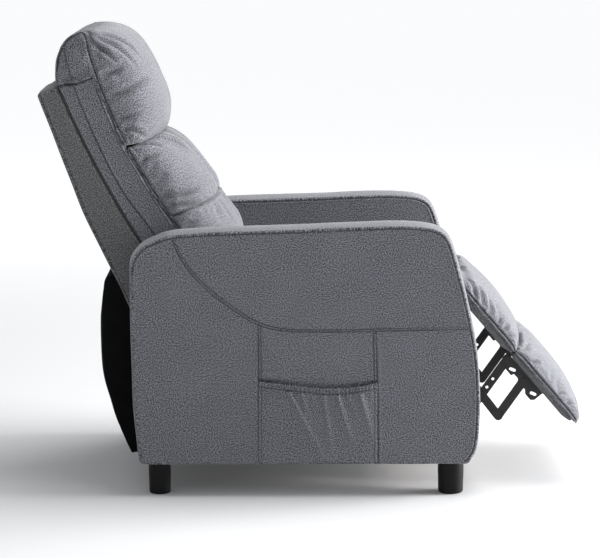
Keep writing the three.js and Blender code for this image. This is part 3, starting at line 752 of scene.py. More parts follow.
def settle(pieces, cap):
    """Runs the simulation for all the blown-up covers together and keeps their final shapes."""
    before = [read_points(piece) for piece in pieces]
    for number in range(1, swell_frames + 1):
        bpy.context.scene.frame_set(number)
    graph = bpy.context.evaluated_depsgraph_get()
    for piece, start in zip(pieces, before):
        swollen = piece.evaluated_get(graph).to_mesh()
        after = np.empty(len(start) * 3, np.float32)
        swollen.vertices.foreach_get("co", after)
        move = after.reshape(-1, 3).astype(float) - start
        size = np.linalg.norm(move, axis=1)[:, None]
        move *= cap * MM * np.tanh(size / (cap * MM)) / np.maximum(size, 1e-9)
        piece.evaluated_get(graph).to_mesh_clear()
        piece.modifiers.clear()
        write_points(piece, start + move)
    bpy.context.scene.frame_set(1)


def subdivide(piece):
    """One level of smooth subdivision, applied to the mesh."""
    modifier = piece.modifiers.new("smooth", "SUBSURF")
    modifier.levels = modifier.render_levels = 1
    graph = bpy.context.evaluated_depsgraph_get()
    finer = bpy.data.meshes.new_from_object(piece.evaluated_get(graph), preserve_all_data_layers=True,
                                            depsgraph=graph)
    piece.modifiers.clear()
    piece.vertex_groups.clear()
    piece.data = finer
    finer.polygons.foreach_set("use_smooth", [True] * len(finer.polygons))


def settle_on(piece, line, lift=0.0):
    """A line moved onto the nearest place on a cover."""
    tree = BVHTree.FromPolygons(read_points(piece).tolist(), [p.vertices[:] for p in piece.data.polygons])
    found = []
    for point in line:
        spot, normal, _, _ = tree.find_nearest(Vector(point))
        found.append(spot + normal * lift * MM)
    return np.array(found)


def on_skin(skin, row, column, count=60):
    """A line across a pillow's crown, through places given as shares of its rows and columns."""
    rows, columns = skin.shape[:2]
    path = even_line(np.stack([np.array(row, float) * (rows - 1), np.array(column, float) * (columns - 1)],
                              axis=1), count)
    r, c = np.clip(path[:, 0], 0, rows - 1.001), np.clip(path[:, 1], 0, columns - 1.001)
    i, j = r.astype(int), c.astype(int)
    fr, fc = (r - i)[:, None], (c - j)[:, None]
    return ((skin[i, j] * (1 - fr) + skin[i + 1, j] * fr) * (1 - fc)
            + (skin[i, j + 1] * (1 - fr) + skin[i + 1, j + 1] * fr) * fc)


gusset_rear = slab_front + (1, 0.5)
gusset_front = even_line([(108, 480), (49, 574), (-2, 650), (-46, 723), (-77, 777), (-100, 828),
                          (-121, 880), (-138, 924)], 90)
gusset_top = even_line([(-220, 903.5), (-182, 908), (-138, 924)], 30)
gusset_bottom = even_line([(9, 482.5), (58, 478), (108, 480)], 30)
gusset = padded_slab(
    "back_gusset", grey_cloth, (gusset_bottom, gusset_front, gusset_top, gusset_rear), 0, 232,
    radii=(3, 7, 3, 5), crowns=(0, 0, 0, 0), band=60)
gusset_seam = even_line(
    [(-206, 990), (-202, 968), (-179, 885), (-128, 764), (-82, 674), (-8, 572), (40, 510)], 90)
gusset_seams = [on_side(gusset_seam, x) for x in (-232, 232)]

headrest_lines = [
    ((-70, 776), (-70, 776), (-70, 776)), ((-76, 787), (-26, 770), (-79, 785)),
    ((-85, 805), (2, 798), (-88, 802)), ((-98, 833), (10, 838), (-101, 831)),
    ((-112, 866), (4, 878), (-116, 864)), ((-127, 904), (-13, 924), (-131, 902)),
    ((-139, 938), (-35, 967), (-141, 928)), ((-149, 970), (-60, 1000), (-150, 923)),
    ((-155, 998), (-90, 1021), (-159, 919)), ((-161, 1019), (-124, 1028), (-168, 915)),
    ((-173, 1023), (-160, 1027), (-177, 912)), ((-191, 1012), (-190, 1015), (-187, 909)),
    ((-208, 993), (-210, 994), (-196, 909)), ((-219, 968), (-221, 967), (-205, 909)),
    ((-223, 940), (-225, 938), (-214, 909)), ((-224, 909), (-224, 909), (-224, 909)),
]
lumbar_lines = [
    ((-66, 768), (-66, 768), (-66, 768)), ((-62, 757), (-34, 776), (-65, 755)),
    ((-54, 743), (2, 785), (-57, 741)), ((-42, 723), (40, 766), (-45, 721)),
    ((-28, 700), (78, 728), (-31, 698)), ((-12, 673), (113, 681), (-15, 671)),
    ((3, 650), (141, 635), (0, 648)), ((20, 624), (164, 598), (17, 622)),
    ((42, 591), (177, 556), (39, 589)), ((64, 556), (185, 518), (61, 554)),
    ((88, 520), (186, 488), (85, 518)), ((104, 494), (170, 470), (102, 492)),
    ((112, 478), (138, 466), (111, 476)), ((111, 470), (111, 470), (111, 470)),
]
headrest, headrest_skin = puffed("headrest_puff", grey_cloth, headrest_lines, 231, bow=3.5)
lumbar, lumbar_skin = puffed("lumbar_puff", grey_cloth, lumbar_lines, 231, sharp=2.4)

cross_seam_rows = [0.43, 0.445, 0.47, 0.50, 0.545, 0.575]
lumbar_seams = [
    on_skin(lumbar_skin, [0.08, 0.22, 0.34, 0.43], [0.5, 0.5, 0.5, 0.5]),
    on_skin(lumbar_skin, cross_seam_rows, [0.5, 0.33, 0.2, 0.12, 0.05, 0.005]),
    on_skin(lumbar_skin, cross_seam_rows, [0.5, 0.67, 0.8, 0.88, 0.95, 0.995]),
]
press(lumbar, lumbar_seams[:1], depth=9, width=24, shade=0)
press(lumbar, lumbar_seams[1:], depth=3.5, width=13, shade=0)


def side_edges(skin):
    return [skin[:, 0], skin[:, -1]]


# ------------------------------------------------------------------ seat and leg pads
# The seat is one boxed foam cushion with a rolled front edge. Each footrest board carries a
# pad with a gusset along both sides; the lower one is sewn to the upper in the fold.

panel_start, panel_slope = np.array([686.0, 435.0]), math.radians(-49.5)
panel_along = np.array([math.cos(panel_slope), math.sin(panel_slope)])
panel_out = np.array([-panel_along[1], panel_along[0]])


def on_panel(pairs):
    """Points given along the footrest and out from it, as forward and up."""
    return [tuple(panel_start + a * panel_along + o * panel_out) for a, o in pairs]


def pad_lines(side, crown, base):
    return list(zip(on_panel(side), on_panel(crown), on_panel(base)))


upper_lines = pad_lines(
    [(-37, 1), (-38, 3), (-33, 6), (-16, 8), (20, 8), (60, 8),
     (100, 8), (132, 8), (154, 7), (166, 4), (168, 1)],
    [(-37, 1), (-40, 10), (-36, 20), (-20, 30), (16, 38), (60, 41),
     (104, 40), (138, 36), (160, 26), (170, 11), (168, 1)],
    [(-37, 1), (-20, 0.5), (0, 0.5), (20, 0.5), (40, 0.5), (60, 0.5),
     (80, 0.5), (102, 0.5), (124, 0.5), (146, 0.5), (168, 1)])
lower_lines = pad_lines(
    [(171, 1), (172, 4), (182, 7), (204, 8), (240, 8), (280, 8),
     (320, 8), (352, 8), (374, 7), (385, 4), (386, 1)],
    [(171, 1), (168, 11), (174, 24), (198, 34), (238, 39), (280, 39),
     (324, 36), (358, 30), (378, 20), (386, 9), (386, 1)],
    [(171, 1), (192, 0.5), (214, 0.5), (236, 0.5), (257, 0.5), (279, 0.5),
     (300, 0.5), (322, 0.5), (343, 0.5), (365, 0.5), (386, 1)])
seat_lines = [
    ((172, 402), (172, 402), (172, 402)), ((171, 412), (168, 414), (220, 402)),
    ((174, 422), (172, 432), (270, 402)), ((196, 430), (200, 446), (320, 402)),
    ((260, 441), (264, 462), (370, 402)), ((340, 455), (344, 476), (420, 402)),
    ((430, 466), (434, 480), (460, 402)), ((520, 472), (526, 485), (510, 402)),
    ((578, 470), (584, 481), (540, 402)), ((600, 462), (606, 470), (562, 402)),
    ((607, 448), (613, 452), (576, 402)), ((602, 430), (606, 432), (584, 402)),
    ((596, 413), (598, 414), (589, 402)), ((592, 402), (592, 402), (592, 402)),
]
pad_form = {"bow": 2, "rows": 72, "sharp": 3.2, "blunt": 2.2}
upper_pad, upper_skin = puffed("upper_leg_pad_cover", grey_cloth, upper_lines, 235, **pad_form)
lower_pad, lower_skin = puffed("lower_leg_pad_cover", grey_cloth, lower_lines, 235, **pad_form)
seat_pad, seat_skin = puffed("seat_cushion_cover", grey_cloth, seat_lines, 236, bow=2.5, sharp=4.5, blunt=2.4)

# All the stuffed covers are blown up together. Each is held along its seams.

stuffed = [
    (headrest, side_edges(headrest_skin), 7, 0.035, 1.0),
    (lumbar, side_edges(lumbar_skin) + lumbar_seams, 7, 0.03, 1.0),
    (upper_pad, side_edges(upper_skin), 5, 0.025, 0.8), (lower_pad, side_edges(lower_skin), 5, 0.025, 0.8),
    (seat_pad, side_edges(seat_skin), 6, 0.015, 0.5),
]
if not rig.quick():
    for piece, seams, reach, ease, force in stuffed:
        blow_up(piece, seams, reach, ease, force)
    settle([piece for piece, *_ in stuffed], cap=12)
for piece, *_ in stuffed:
    subdivide(piece)


def ripple(piece, line, height, spacing, fade, seed):
    """Ripples that stand square to a seam and die away from it, as eased cloth does."""
    rng = np.random.default_rng(seed)
    points, normals = read_points(piece), read_normals(piece)
    d, s = line_distance(points, line)
    wave = np.zeros(len(points))
    for k in range(3):
        pace = spacing * (0.7 + 0.35 * k) * rng.uniform(0.9, 1.1)
        drift = rng.uniform(-0.4, 0.4) * d / MM
        wave += np.sin((s / MM + drift) * 2 * math.pi / pace + rng.uniform(0, 6.3)) / (k + 1)
    strength = 0.5 + 0.5 * np.sin(s / MM * 2 * math.pi / (spacing * 4.3) + rng.uniform(0, 6.3))
    rise = height * wave * strength * np.exp(-d / MM / fade) * np.clip(d / MM / 3, 0, 1)
    write_points(piece, points + normals * (rise * MM)[:, None])


undulate(headrest, 3.0, 120, 21)
undulate(lumbar, 3.0, 110, 22)
for pad in (upper_pad, lower_pad, seat_pad):
    undulate(pad, 1.8, 120, 23)
head_edges = [settle_on(headrest, edge) for edge in side_edges(headrest_skin)]
lumbar_edges = [settle_on(lumbar, edge) for edge in side_edges(lumbar_skin)]
for edge, seed in zip(head_edges, (31, 32)):
    ripple(headrest, edge[8:60], 2.2, 34, 26, seed)
for edge, seed in zip(lumbar_edges, (33, 34)):
    ripple(lumbar, edge, 2.0, 40, 26, seed)


def fold(piece, line, depth, width):
    """A crease that is deepest in its middle and runs out at both ends, with shade painted along its valley."""
    points, normals = read_points(piece), read_normals(piece)
    d, s = line_distance(points, line)
    length = np.linalg.norm(np.diff(line, axis=0), axis=1).sum()
    taper = np.sin(np.clip(s / length, 0, 1) * math.pi) ** 0.7
    d = d / MM
    push = -depth * np.exp(-((d / width) ** 2)) + 0.55 * depth * np.exp(-(((d - 1.9 * width) / width) ** 2))
    write_points(piece, points + normals * (push * taper * MM)[:, None])
    shade_crease(piece, 0.5 * taper * np.exp(-((d / (0.8 * width)) ** 2)))


def mirrored(line):
    return line * np.array([-1, 1, 1])


folds = [
    (headrest, headrest_skin, [
        ([0.68, 0.62, 0.54, 0.47], [0.02, 0.16, 0.25, 0.29], 4.0, 6),
        ([0.67, 0.60, 0.51, 0.44], [0.02, 0.12, 0.19, 0.22], 4.0, 6),
        ([0.65, 0.57, 0.49], [0.02, 0.08, 0.13], 3.5, 5),
        ([0.335, 0.345, 0.37, 0.38], [0.0, 0.08, 0.20, 0.27], 6.5, 8),
        ([0.46, 0.455, 0.46], [0.0, 0.08, 0.17], 3.5, 7),
        ([0.13, 0.14, 0.11], [0.0, 0.06, 0.18], 5.0, 6),
        ([0.20, 0.21, 0.22], [0.0, 0.07, 0.15], 3.0, 6),
    ]),
    (lumbar, lumbar_skin, [
        ([0.04, 0.10, 0.17, 0.26], [0.20, 0.26, 0.33, 0.40], 4.5, 6),
        ([0.05, 0.12, 0.22], [0.28, 0.34, 0.42], 4.0, 6),
        ([0.03, 0.09, 0.16], [0.12, 0.17, 0.22], 3.5, 6),
        ([0.16, 0.155, 0.17], [0.0, 0.06, 0.16], 4.0, 7),
        ([0.44, 0.425, 0.41, 0.40], [0.01, 0.08, 0.16, 0.24], 5.0, 8),
        ([0.50, 0.48, 0.465], [0.01, 0.10, 0.22], 4.0, 7),
    ]),
    (upper_pad, upper_skin, [
        ([0.34, 0.27, 0.16], [0.01, 0.10, 0.20], 3.5, 7),
        ([0.42, 0.38, 0.28], [0.01, 0.10, 0.18], 4.5, 7),
        ([0.50, 0.49, 0.44], [0.01, 0.09, 0.17], 4.0, 6),
        ([0.60, 0.61, 0.60], [0.01, 0.07, 0.13], 2.5, 5),
        ([0.67, 0.69, 0.70], [0.01, 0.08, 0.15], 2.5, 5),
        ([0.75, 0.78, 0.81], [0.01, 0.08, 0.16], 2.0, 5),
        ([0.20, 0.17, 0.15], [0.12, 0.26, 0.42], 3.0, 9),
    ]),
    (lower_pad, lower_skin, [
        ([0.13, 0.17, 0.21], [0.06, 0.16, 0.28], 3.5, 6),
        ([0.10, 0.12, 0.15], [0.18, 0.30, 0.44], 3.0, 6),
        ([0.26, 0.28, 0.32], [0.01, 0.09, 0.16], 2.5, 5),
        ([0.60, 0.62, 0.66], [0.01, 0.08, 0.14], 2.0, 5),
        ([0.70, 0.73, 0.78], [0.01, 0.08, 0.16], 3.0, 6),
        ([0.79, 0.82, 0.86], [0.02, 0.09, 0.18], 3.0, 6),
    ]),
]
# Each fold is pressed in with painted shade along its valley.
for puff, skin, creases in folds:
    for row, column, depth, width in creases:
        line = on_skin(skin, row, column)
        fold(puff, settle_on(puff, line), depth, width)
        fold(puff, settle_on(puff, mirrored(line)), depth * 0.8, width)
pad_edges = {pad: [settle_on(pad, edge) for edge in side_edges(skin)]
             for pad, skin in ((upper_pad, upper_skin), (lower_pad, lower_skin), (seat_pad, seat_skin))}
# The pads' side seams are pressed with painted shade in their grooves.
for pad, edges in pad_edges.items():
    for edge, seed in zip(edges, (41, 42)):
        ripple(pad, edge, 0.9, 30, 14, seed)
    press(pad, edges, depth=1.6, width=1.8, puff=0.9)

# The lumbar tufts and the puffs' side seams are pressed with painted shade in their grooves.
lumbar_seams = [settle_on(lumbar, line) for line in lumbar_seams]
press(lumbar, lumbar_seams, depth=2.6, width=2.6, puff=1.2)
press(headrest, head_edges, depth=1.6, width=2.4, puff=0.9)
press(lumbar, lumbar_edges, depth=1.6, width=2.4, puff=0.9)
head_seams = [settle_on(headrest, line) for line in gusset_seams]
head_seams += [settle_on(headrest, place(x, [-212, -190, -166], [981, 992, 1000])) for x in (-233, 233)]
refine(gusset, gusset_seams, 8)
# The gusset's seams and its join with the back cover are pressed with painted shade; the join gets the darkest.
press(gusset, gusset_seams, depth=1.7, width=1.5, puff=0.9, shade=0.9)
press(gusset, [on_side(gusset_rear, x) for x in (-231, 231)], depth=2.0, width=3.0)
gusset_edge = [on_side(gusset_front, x) for x in (-231, 231)]
press(gusset, gusset_edge, depth=1.2, width=2.2)
press(gusset, [settle_on(gusset, on_side(gusset_front + (-7, -4), x)) for x in (-232, 232)],
      depth=1.0, width=1.3, shade=0.7)
press(headrest, head_seams, depth=1.5, width=1.6, puff=0.8, shade=0.8)

for piece, body, node in (
    (gusset, "back", "back_cushion"), (headrest, "back", "headrest_cushion"),
    (lumbar, "back", "lumbar_cushion"), (seat_pad, "seat", "seat_cushion"),
    (upper_pad, "footrest", "upper_leg_pad"), (lower_pad, "footrest", "lower_leg_pad"),
):
    fit_cover(piece, body, node, "fabric", 0.8)


# ------------------------------------------------------------------ side pocket
# A pouch for a remote or a magazine, sewn to the sitter's right arm on three sides.
# Its hem is gathered on elastic, so the mouth stands a little open and the cloth fans below it.

pocket_s = np.linspace(0, 1, 170)[:, None]
pocket_t = np.linspace(0, 1, 90)[None, :]
pocket_wide, pocket_low, hem_deep = 262, 78, 13
mouth = even_line([(0, 262), (0.22, 256), (0.55, 248), (0.8, 250), (1, 258)], 200)
mouth_height = np.interp(pocket_s, mouth[:, 0], mouth[:, 1])
pocket_u = 222 + pocket_wide * pocket_s + 0 * pocket_t
pocket_z = pocket_low + (mouth_height - pocket_low) * pocket_t
below = mouth_height - pocket_z
stand = 1.2 + 7.5 * np.sin(math.pi * np.clip(pocket_s, 0, 1)) ** 0.55 * pocket_t**1.6
stand += 2.2 * np.sin(math.pi * pocket_s) ** 0.5 * np.sin(math.pi * pocket_t) ** 0.7
in_hem = 1 / (1 + np.exp((below - hem_deep) / 1.2))
gather = np.sin(pocket_s * 2 * math.pi * 33 + 1.6 * np.sin(pocket_s * 23))
inside_edges = np.clip(np.minimum(pocket_s, 1 - pocket_s) * 18, 0, 1)
stand = stand + inside_edges * gather * (1.3 * in_hem + 0.8 * np.exp(-((below - hem_deep) / 13) ** 2))
stand = stand + 1.1 * in_hem
stand = stand - 1.5 * np.exp(-((below - hem_deep) / 1.3) ** 2)
fans = [(0.25, 0.55, 150, 4.2), (0.36, 0.41, 60, 3.0), (0.55, 0.61, 130, 3.6), (0.66, 0.77, 105, 4.0),
        (0.85, 0.95, 100, 4.0), (0.13, 0.18, 35, 2.2), (0.45, 0.50, 50, 2.0), (0.75, 0.80, 45, 2.0),
        (0.07, 0.09, 40, 1.6)]
for start, finish, reach, rise in fans:
    middle = start + (finish - start) * np.clip((below - 12) / reach, 0, 1.4)
    width = 0.017 + 0.00012 * below
    fade = np.exp(-((np.clip(below - 30, 0, None)) / (0.62 * reach)) ** 2)
    fade = fade * np.clip((below - 11) / 8, 0.25, 1)
    stand = stand + 1.9 * inside_edges * rise * fade * np.exp(-((pocket_s - middle) / width) ** 2)
pocket_outer = place(-340.6 - stand, pocket_u, pocket_z)
pocket_inner = pocket_outer + np.array([1.3 * MM, 0, 0])
pocket_flat = np.stack([pocket_u, pocket_z], axis=-1) * MM
cover = Cover()
cover.panel(pocket_outer, pocket_flat)
cover.panel(pocket_inner, pocket_flat)
for edge in (np.s_[0, :], np.s_[-1, :], np.s_[:, 0], np.s_[:, -1]):
    cover.panel(np.stack([pocket_outer[edge], pocket_inner[edge]]),
                np.stack([pocket_flat[edge], pocket_flat[edge] + 0.001]))
pocket = cover.sew("side_pocket_pouch", grey_cloth)
hem_line = np.array([pocket_outer[i, int(np.argmin(np.abs(below[i] - 12.5)))] for i in range(170)])
# The hem and the pocket's sides are pressed with painted shade along their lines.
press(pocket, [hem_line], depth=0.3, width=1.5, shade=0.7)
press(pocket, [pocket_outer[4, :-4], pocket_outer[-5, :-4]], depth=0.5, width=1.5, shade=0.6)
pocket_mouth = pocket_outer[:, -1] + np.array([0.006, 0, 0.003])
# Painted shadow on the arm just above the pocket's mouth, where the open mouth shades it.
press(arm_right, [pocket_mouth], depth=1.5, width=4.0, shade=1.0)
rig.ride(pocket, "base")
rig.replaces(pocket, "side_pocket")
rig.slot(pocket, "fabric")
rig.sheet(pocket, flat=(0.275, 0.19), held="gathered", rests_on=(arm_right,))


# ------------------------------------------------------------------ black cloths
# Thin woven polypropylene closes the chair behind and below. The rear cloth hangs from a
# rolled hem under the back to the rear rail; the bottom one is stapled under the frame.


def black_weave():
    material, tree, surface = new_surface("black_cloth", Roughness=0.85, Specular_IOR_Level=0.1)
    where = wire_up(tree, "ShaderNodeTexCoord").outputs["Object"]
    ribs, cross_ribs = (
        wire_up(tree, "ShaderNodeTexWave", {"bands_direction": way}, Vector=where, Scale=180.0,
                Distortion=1.5, Detail=2.0).outputs["Fac"] for way in ("Z", "X"))
    dust = wire_up(tree, "ShaderNodeTexNoise", Vector=where, Scale=35.0, Detail=5.0).outputs["Fac"]
    tint = mix_colours(tree, dust, (0.0012, 0.0012, 0.0014, 1), (0.0045, 0.0045, 0.005, 1))
    tree.links.new(tint, surface.inputs["Base Color"])
    roughen(tree, surface, 0.35, 0.0006, combine(tree, "ADD", ribs, cross_ribs))
    return material


black_cloth = black_weave()


def thin_cloth(name, material, grid, flat, thickness=1.2):
    """A closed, thin cloth from a grid of points, with its edges joined."""
    du, dv = np.gradient(grid, axis=0), np.gradient(grid, axis=1)
    across = np.cross(du, dv)
    across /= np.maximum(np.linalg.norm(across, axis=2, keepdims=True), 1e-12)
    under = grid - across * thickness * MM
    cover = Cover()
    cover.panel(grid, flat)
    cover.panel(under, flat)
    for edge in (np.s_[0, :], np.s_[-1, :], np.s_[:, 0], np.s_[:, -1]):
        cover.panel(np.stack([grid[edge], under[edge]]), np.stack([flat[edge], flat[edge]]))
    return cover.sew(name, material)


hang = even_line([(-101, 466), (-102, 474), (-107, 479), (-115, 479), (-121, 472), (-124, 456), (-127, 420),
                  (-129, 352), (-125, 260), (-109, 195), (-94, 150), (-77, 108), (-64, 80)], 110)
wing = np.interp(hang[:, 1], slab_rear[:, 1], slab_rear[:, 0]) + 14
wing = np.where(hang[:, 1] < 404, np.minimum(-50, wing), wing)
wing = np.maximum(wing, hang[:, 0] + 1)
drop = np.linspace(0, 1, 110)[:, None]
side_steps = np.linspace(0, 1, 14)[None, :-1]
low_spread = 1 + 0.057 * np.clip((190 - hang[:, 1:]) / 30, 0, 1)
rear_x = np.linspace(-231, 231, 80)
sway = 3.0 * np.sin(rear_x / 36 + 0.8) + 2.0 * np.sin(rear_x / 17 + 2.0 * drop) + 1.4 * np.sin(rear_x / 61)
sway = (sway * np.clip((drop - 0.07) * 5, 0, 1) * np.clip((1 - drop) * 6, 0, 1)
        * np.clip((231 - np.abs(rear_x)) / 30, 0, 1))
side_u = wing[:, None] + (hang[:, :1] - wing[:, None]) * side_steps
side_x = 231 - 6 * (1 - side_steps) - 2.5 * np.sin(math.pi * side_steps) * np.sin(drop * 40)
rear_u = np.hstack([side_u, hang[:, :1] - sway, side_u[:, ::-1]])
rear_across = np.hstack([-side_x, np.broadcast_to(rear_x, (110, 80)), side_x[:, ::-1]])
rear_grid = place(rear_across * low_spread, rear_u, hang[:, 1:])
hop = np.linalg.norm(np.diff(rear_grid, axis=1), axis=2)
rear_run = np.hstack([np.zeros((110, 1)), np.cumsum(hop, axis=1)])
rear_run -= rear_run[:, -1:] / 2
rear_length = float(np.linalg.norm(np.diff(hang, axis=0), axis=1).sum() * MM)
rear_flat = np.stack(np.broadcast_arrays(rear_run, drop * rear_length), axis=-1)
rear_width = float(2 * rear_run[:, -1].max())
cut_area = float(2 * rear_run[:, -1].mean() * rear_length)
rear_cloth = thin_cloth("rear_cloth", black_cloth, rear_grid, rear_flat)
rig.blend(rear_cloth, "base", "back", tuple(place(0, -75, 120)), tuple(place(0, -110, 460)))
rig.replaces(rear_cloth, "rear_dust_cover")
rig.slot(rear_cloth, "black_cloth")
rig.sheet(rear_cloth, flat=(round(rear_width, 3), round(rear_length + 0.003, 3)), held="hung",
         rests_on=("back_slab_cover",), area=round(cut_area, 4))
low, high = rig.box("bottom_dust_cover")
under_x, under_y = np.meshgrid(np.linspace(low.x, high.x, 60), np.linspace(low.y, high.y, 70), indexing="ij")
slack = (np.sin((under_x - low.x) / (high.x - low.x) * math.pi)
         * np.sin((under_y - low.y) / (high.y - low.y) * math.pi))
tucks = 0.0008 * np.sin(under_y * 95) * np.exp(-(under_x - low.x) / 0.03) + 0.0008 * np.sin(
    under_y * 88) * np.exp(-(high.x - under_x) / 0.03)
under_grid = np.stack([under_x, under_y, low.z + 0.0012 - 0.005 * slack + tucks * slack**0.2], axis=-1)
bottom_cloth = thin_cloth("bottom_cloth", black_cloth, under_grid[:, ::-1],
                          np.stack([under_x, under_y], axis=-1)[:, ::-1], thickness=1.0)
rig.ride(bottom_cloth, "base")
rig.replaces(bottom_cloth, "bottom_dust_cover")
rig.slot(bottom_cloth, "black_cloth")
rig.sheet(bottom_cloth, flat=(round(high.x - low.x + 0.005, 3), round(high.y - low.y + 0.005, 3)),
         held="stretched", rests_on=("front_rail", "rear_rail"))


# ------------------------------------------------------------------ feet
# Four turned plastic feet in satin black, each screwed up into the arm with a hanger bolt.
# Their moulded lower edge is rounded, and a thin felt glide is glued underneath.


def plastic():
    material, tree, surface = new_surface("foot_plastic", Specular_IOR_Level=0.18)
    where = wire_up(tree, "ShaderNodeTexCoord").outputs["Object"]
    grain = wire_up(tree, "ShaderNodeTexNoise", Vector=where, Scale=900.0, Detail=3.0).outputs["Fac"]
    rub = wire_up(tree, "ShaderNodeTexNoise", Vector=where, Scale=60.0, Detail=6.0).outputs["Fac"]
    tint = mix_colours(tree, rub, (0.0015, 0.0015, 0.0018, 1), (0.005, 0.005, 0.006, 1))
    rough = wire_up(tree, "ShaderNodeMapRange", Value=rub, To_Min=0.38, To_Max=0.55)
    tree.links.new(tint, surface.inputs["Base Color"])
    tree.links.new(rough.outputs[0], surface.inputs["Roughness"])
    roughen(tree, surface, 0.12, 0.0003, grain)
    return material


foot_black = plastic()


def turned_foot(node):
    low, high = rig.box(node)
    centre = (low + high) / 2
    r = (high.x - low.x) / 2 / MM
    profile = even_line(
        [(0, 0.8), (r - 13, 0.8), (r - 12.5, 0), (r - 6, 0), (r - 3.6, 0.7), (r - 1.9, 2.4), (r - 1.2, 5),
         (r - 0.6, 30), (r, 50), (r - 0.2, 66), (r - 0.4, 69.6), (r - 1.6, 70.2), (r - 1.6, 71.6),
         (r - 0.2, 72.2), (r - 0.2, 73.6), (5, 73.6), (5, 79), (4.4, 79.6), (0, 79.6)], 110, smooth=False)
    angle = np.linspace(0, 2 * math.pi, 65)
    grid = np.stack([
        centre.x + profile[:, :1] * MM * np.cos(angle), centre.y + profile[:, :1] * MM * np.sin(angle),
        profile[:, 1:] * MM + 0 * angle], axis=-1)
    cover = Cover()
    cover.panel(grid, np.stack(np.broadcast_arrays(angle[None] * r * MM, profile[:, 1:] * MM), axis=-1))
    piece = cover.sew(f"{node}_turned", foot_black)
    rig.ride(piece, "base")
    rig.replaces(piece, node)
    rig.slot(piece, "foot_plastic")


for end in ("front", "rear"):
    for side_name in ("left", "right"):
        turned_foot(f"{end}_foot_{side_name}")


# ------------------------------------------------------------------ steel mechanism
# Stamped flat bars, runners, brackets and a torque tube in satin black powder coat. Their
# edges are broken, rivets join them, and the coat has fine scuffs scattered over it.


def build_wear():
    """A mask of fine scuffs and a soft mottle, for painted metal, wood and webbing."""
    group, given, result = node_group(
        "surface_wear", [("Scale", 60.0), ("Amount", 0.5)],
        [("Scuff", "NodeSocketFloat"), ("Mottle", "NodeSocketFloat")])
    where = wire_up(group, "ShaderNodeTexCoord").outputs["Object"]
    mottle = wire_up(group, "ShaderNodeTexNoise", Vector=where, Scale=given["Scale"], Detail=4.0)
    fine = wire_up(group, "ShaderNodeTexNoise", Vector=where,
                   Scale=combine(group, "MULTIPLY", given["Scale"], 7.0), Detail=6.0)
    both_noises = combine(group, "MULTIPLY", fine.outputs["Fac"], mottle.outputs["Fac"])
    spots = combine(group, "SUBTRACT", both_noises, 0.34)
    scuff = wire_up(group, "ShaderNodeClamp",
                    Value=combine(group, "MULTIPLY", combine(group, "MULTIPLY", spots, 8.0), given["Amount"]))
    group.links.new(scuff.outputs[0], result["Scuff"])
    group.links.new(mottle.outputs["Fac"], result["Mottle"])
    return group


surface_wear = build_wear()


def worn_material(name, base, scuffed, roughness, metallic=0.0, scale=60.0, amount=0.5, bump_depth=0.0002):
    material, tree, surface = new_surface(name, Metallic=metallic)
    wear = wire_up(tree, "ShaderNodeGroup", {"node_tree": surface_wear}, Scale=scale, Amount=amount)
    mottle = wear.outputs["Mottle"]
    tree.links.new(mix_colours(tree, wear.outputs["Scuff"], base, scuffed), surface.inputs["Base Color"])
    rough = wire_up(tree, "ShaderNodeMapRange", Value=mottle, To_Min=roughness - 0.08, To_Max=roughness + 0.1)
    tree.links.new(rough.outputs[0], surface.inputs["Roughness"])
    roughen(tree, surface, 0.4, bump_depth, mottle)
    return material


black_steel = worn_material("black_powder_coat", (0.003, 0.003, 0.0035, 1), (0.018, 0.018, 0.018, 1), 0.52,
                            metallic=0.0, scale=90.0, amount=0.5)
spring_steel = worn_material("zinc_spring_steel", (0.36, 0.35, 0.33, 1), (0.14, 0.12, 0.10, 1), 0.34,
                             metallic=0.9, scale=40.0, amount=0.6)


def finished(node, material, slot_name, bevel, uv=False):
    """A copy of a CAD piece with broken edges, which takes that piece's place."""
    original = bpy.data.objects[node]
    piece = bpy.data.objects.new(f"{node}_finished", original.data.copy())
    bpy.context.scene.collection.objects.link(piece)
    piece.data.transform(original.matrix_world)
    skin = bmesh.new()
    skin.from_mesh(piece.data)
    bmesh.ops.remove_doubles(skin, verts=skin.verts, dist=2e-6)
    bmesh.ops.dissolve_limit(skin, angle_limit=math.radians(0.6), verts=skin.verts, edges=skin.edges)
    skin.to_mesh(piece.data)
    skin.free()
    edge = piece.modifiers.new("broken_edge", "BEVEL")
    edge.width, edge.segments, edge.limit_method, edge.angle_limit = bevel * MM, 2, "ANGLE", math.radians(40)
    edge.harden_normals = False
    graph = bpy.context.evaluated_depsgraph_get()
    mesh = bpy.data.meshes.new_from_object(piece.evaluated_get(graph), depsgraph=graph)
    piece.modifiers.clear()
    piece.data = mesh
    mesh.materials.clear()
    mesh.materials.append(material)
    if uv:
        layout = mesh.uv_layers.get("UVMap") or mesh.uv_layers.new(name="UVMap")
        for polygon in mesh.polygons:
            n = [abs(v) for v in polygon.normal]
            keep = [(1, 2), (0, 2), (0, 1)][n.index(max(n))]
            for loop in polygon.loop_indices:
                co = mesh.vertices[mesh.loops[loop].vertex_index].co
                layout.data[loop].uv = (co[keep[0]], co[keep[1]])
    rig.ride(piece, original.get("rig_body") or original.parent.name)
    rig.replaces(piece, node)
    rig.slot(piece, slot_name)


def both(*names):
    return [f"{name}_{side}" for name in names for side in ("left", "right")]


steel_nodes = both(
    "glide_rail", "back_hinge_plate", "back_bracket", "seat_side_plate", "seat_runner", "recline_link",
    "drive_link", "guide_link", "long_link", "cross_link", "outer_link", "footrest_bracket")
for node in steel_nodes + ["torque_tube"]:
    finished(node, black_steel, "black_steel", 0.35)
for node in both("footrest_spring") + [f"seat_spring_{k}" for k in range(1, 5)]:
    bpy.data.objects[node].data.materials.clear()
    bpy.data.objects[node].data.materials.append(spring_steel)


# ------------------------------------------------------------------ frame and boards
# The hidden frame is pine ply and board with eased edges, and webbing spans the back. The
# two footrest boards are wrapped in the dark cloth, stapled behind.


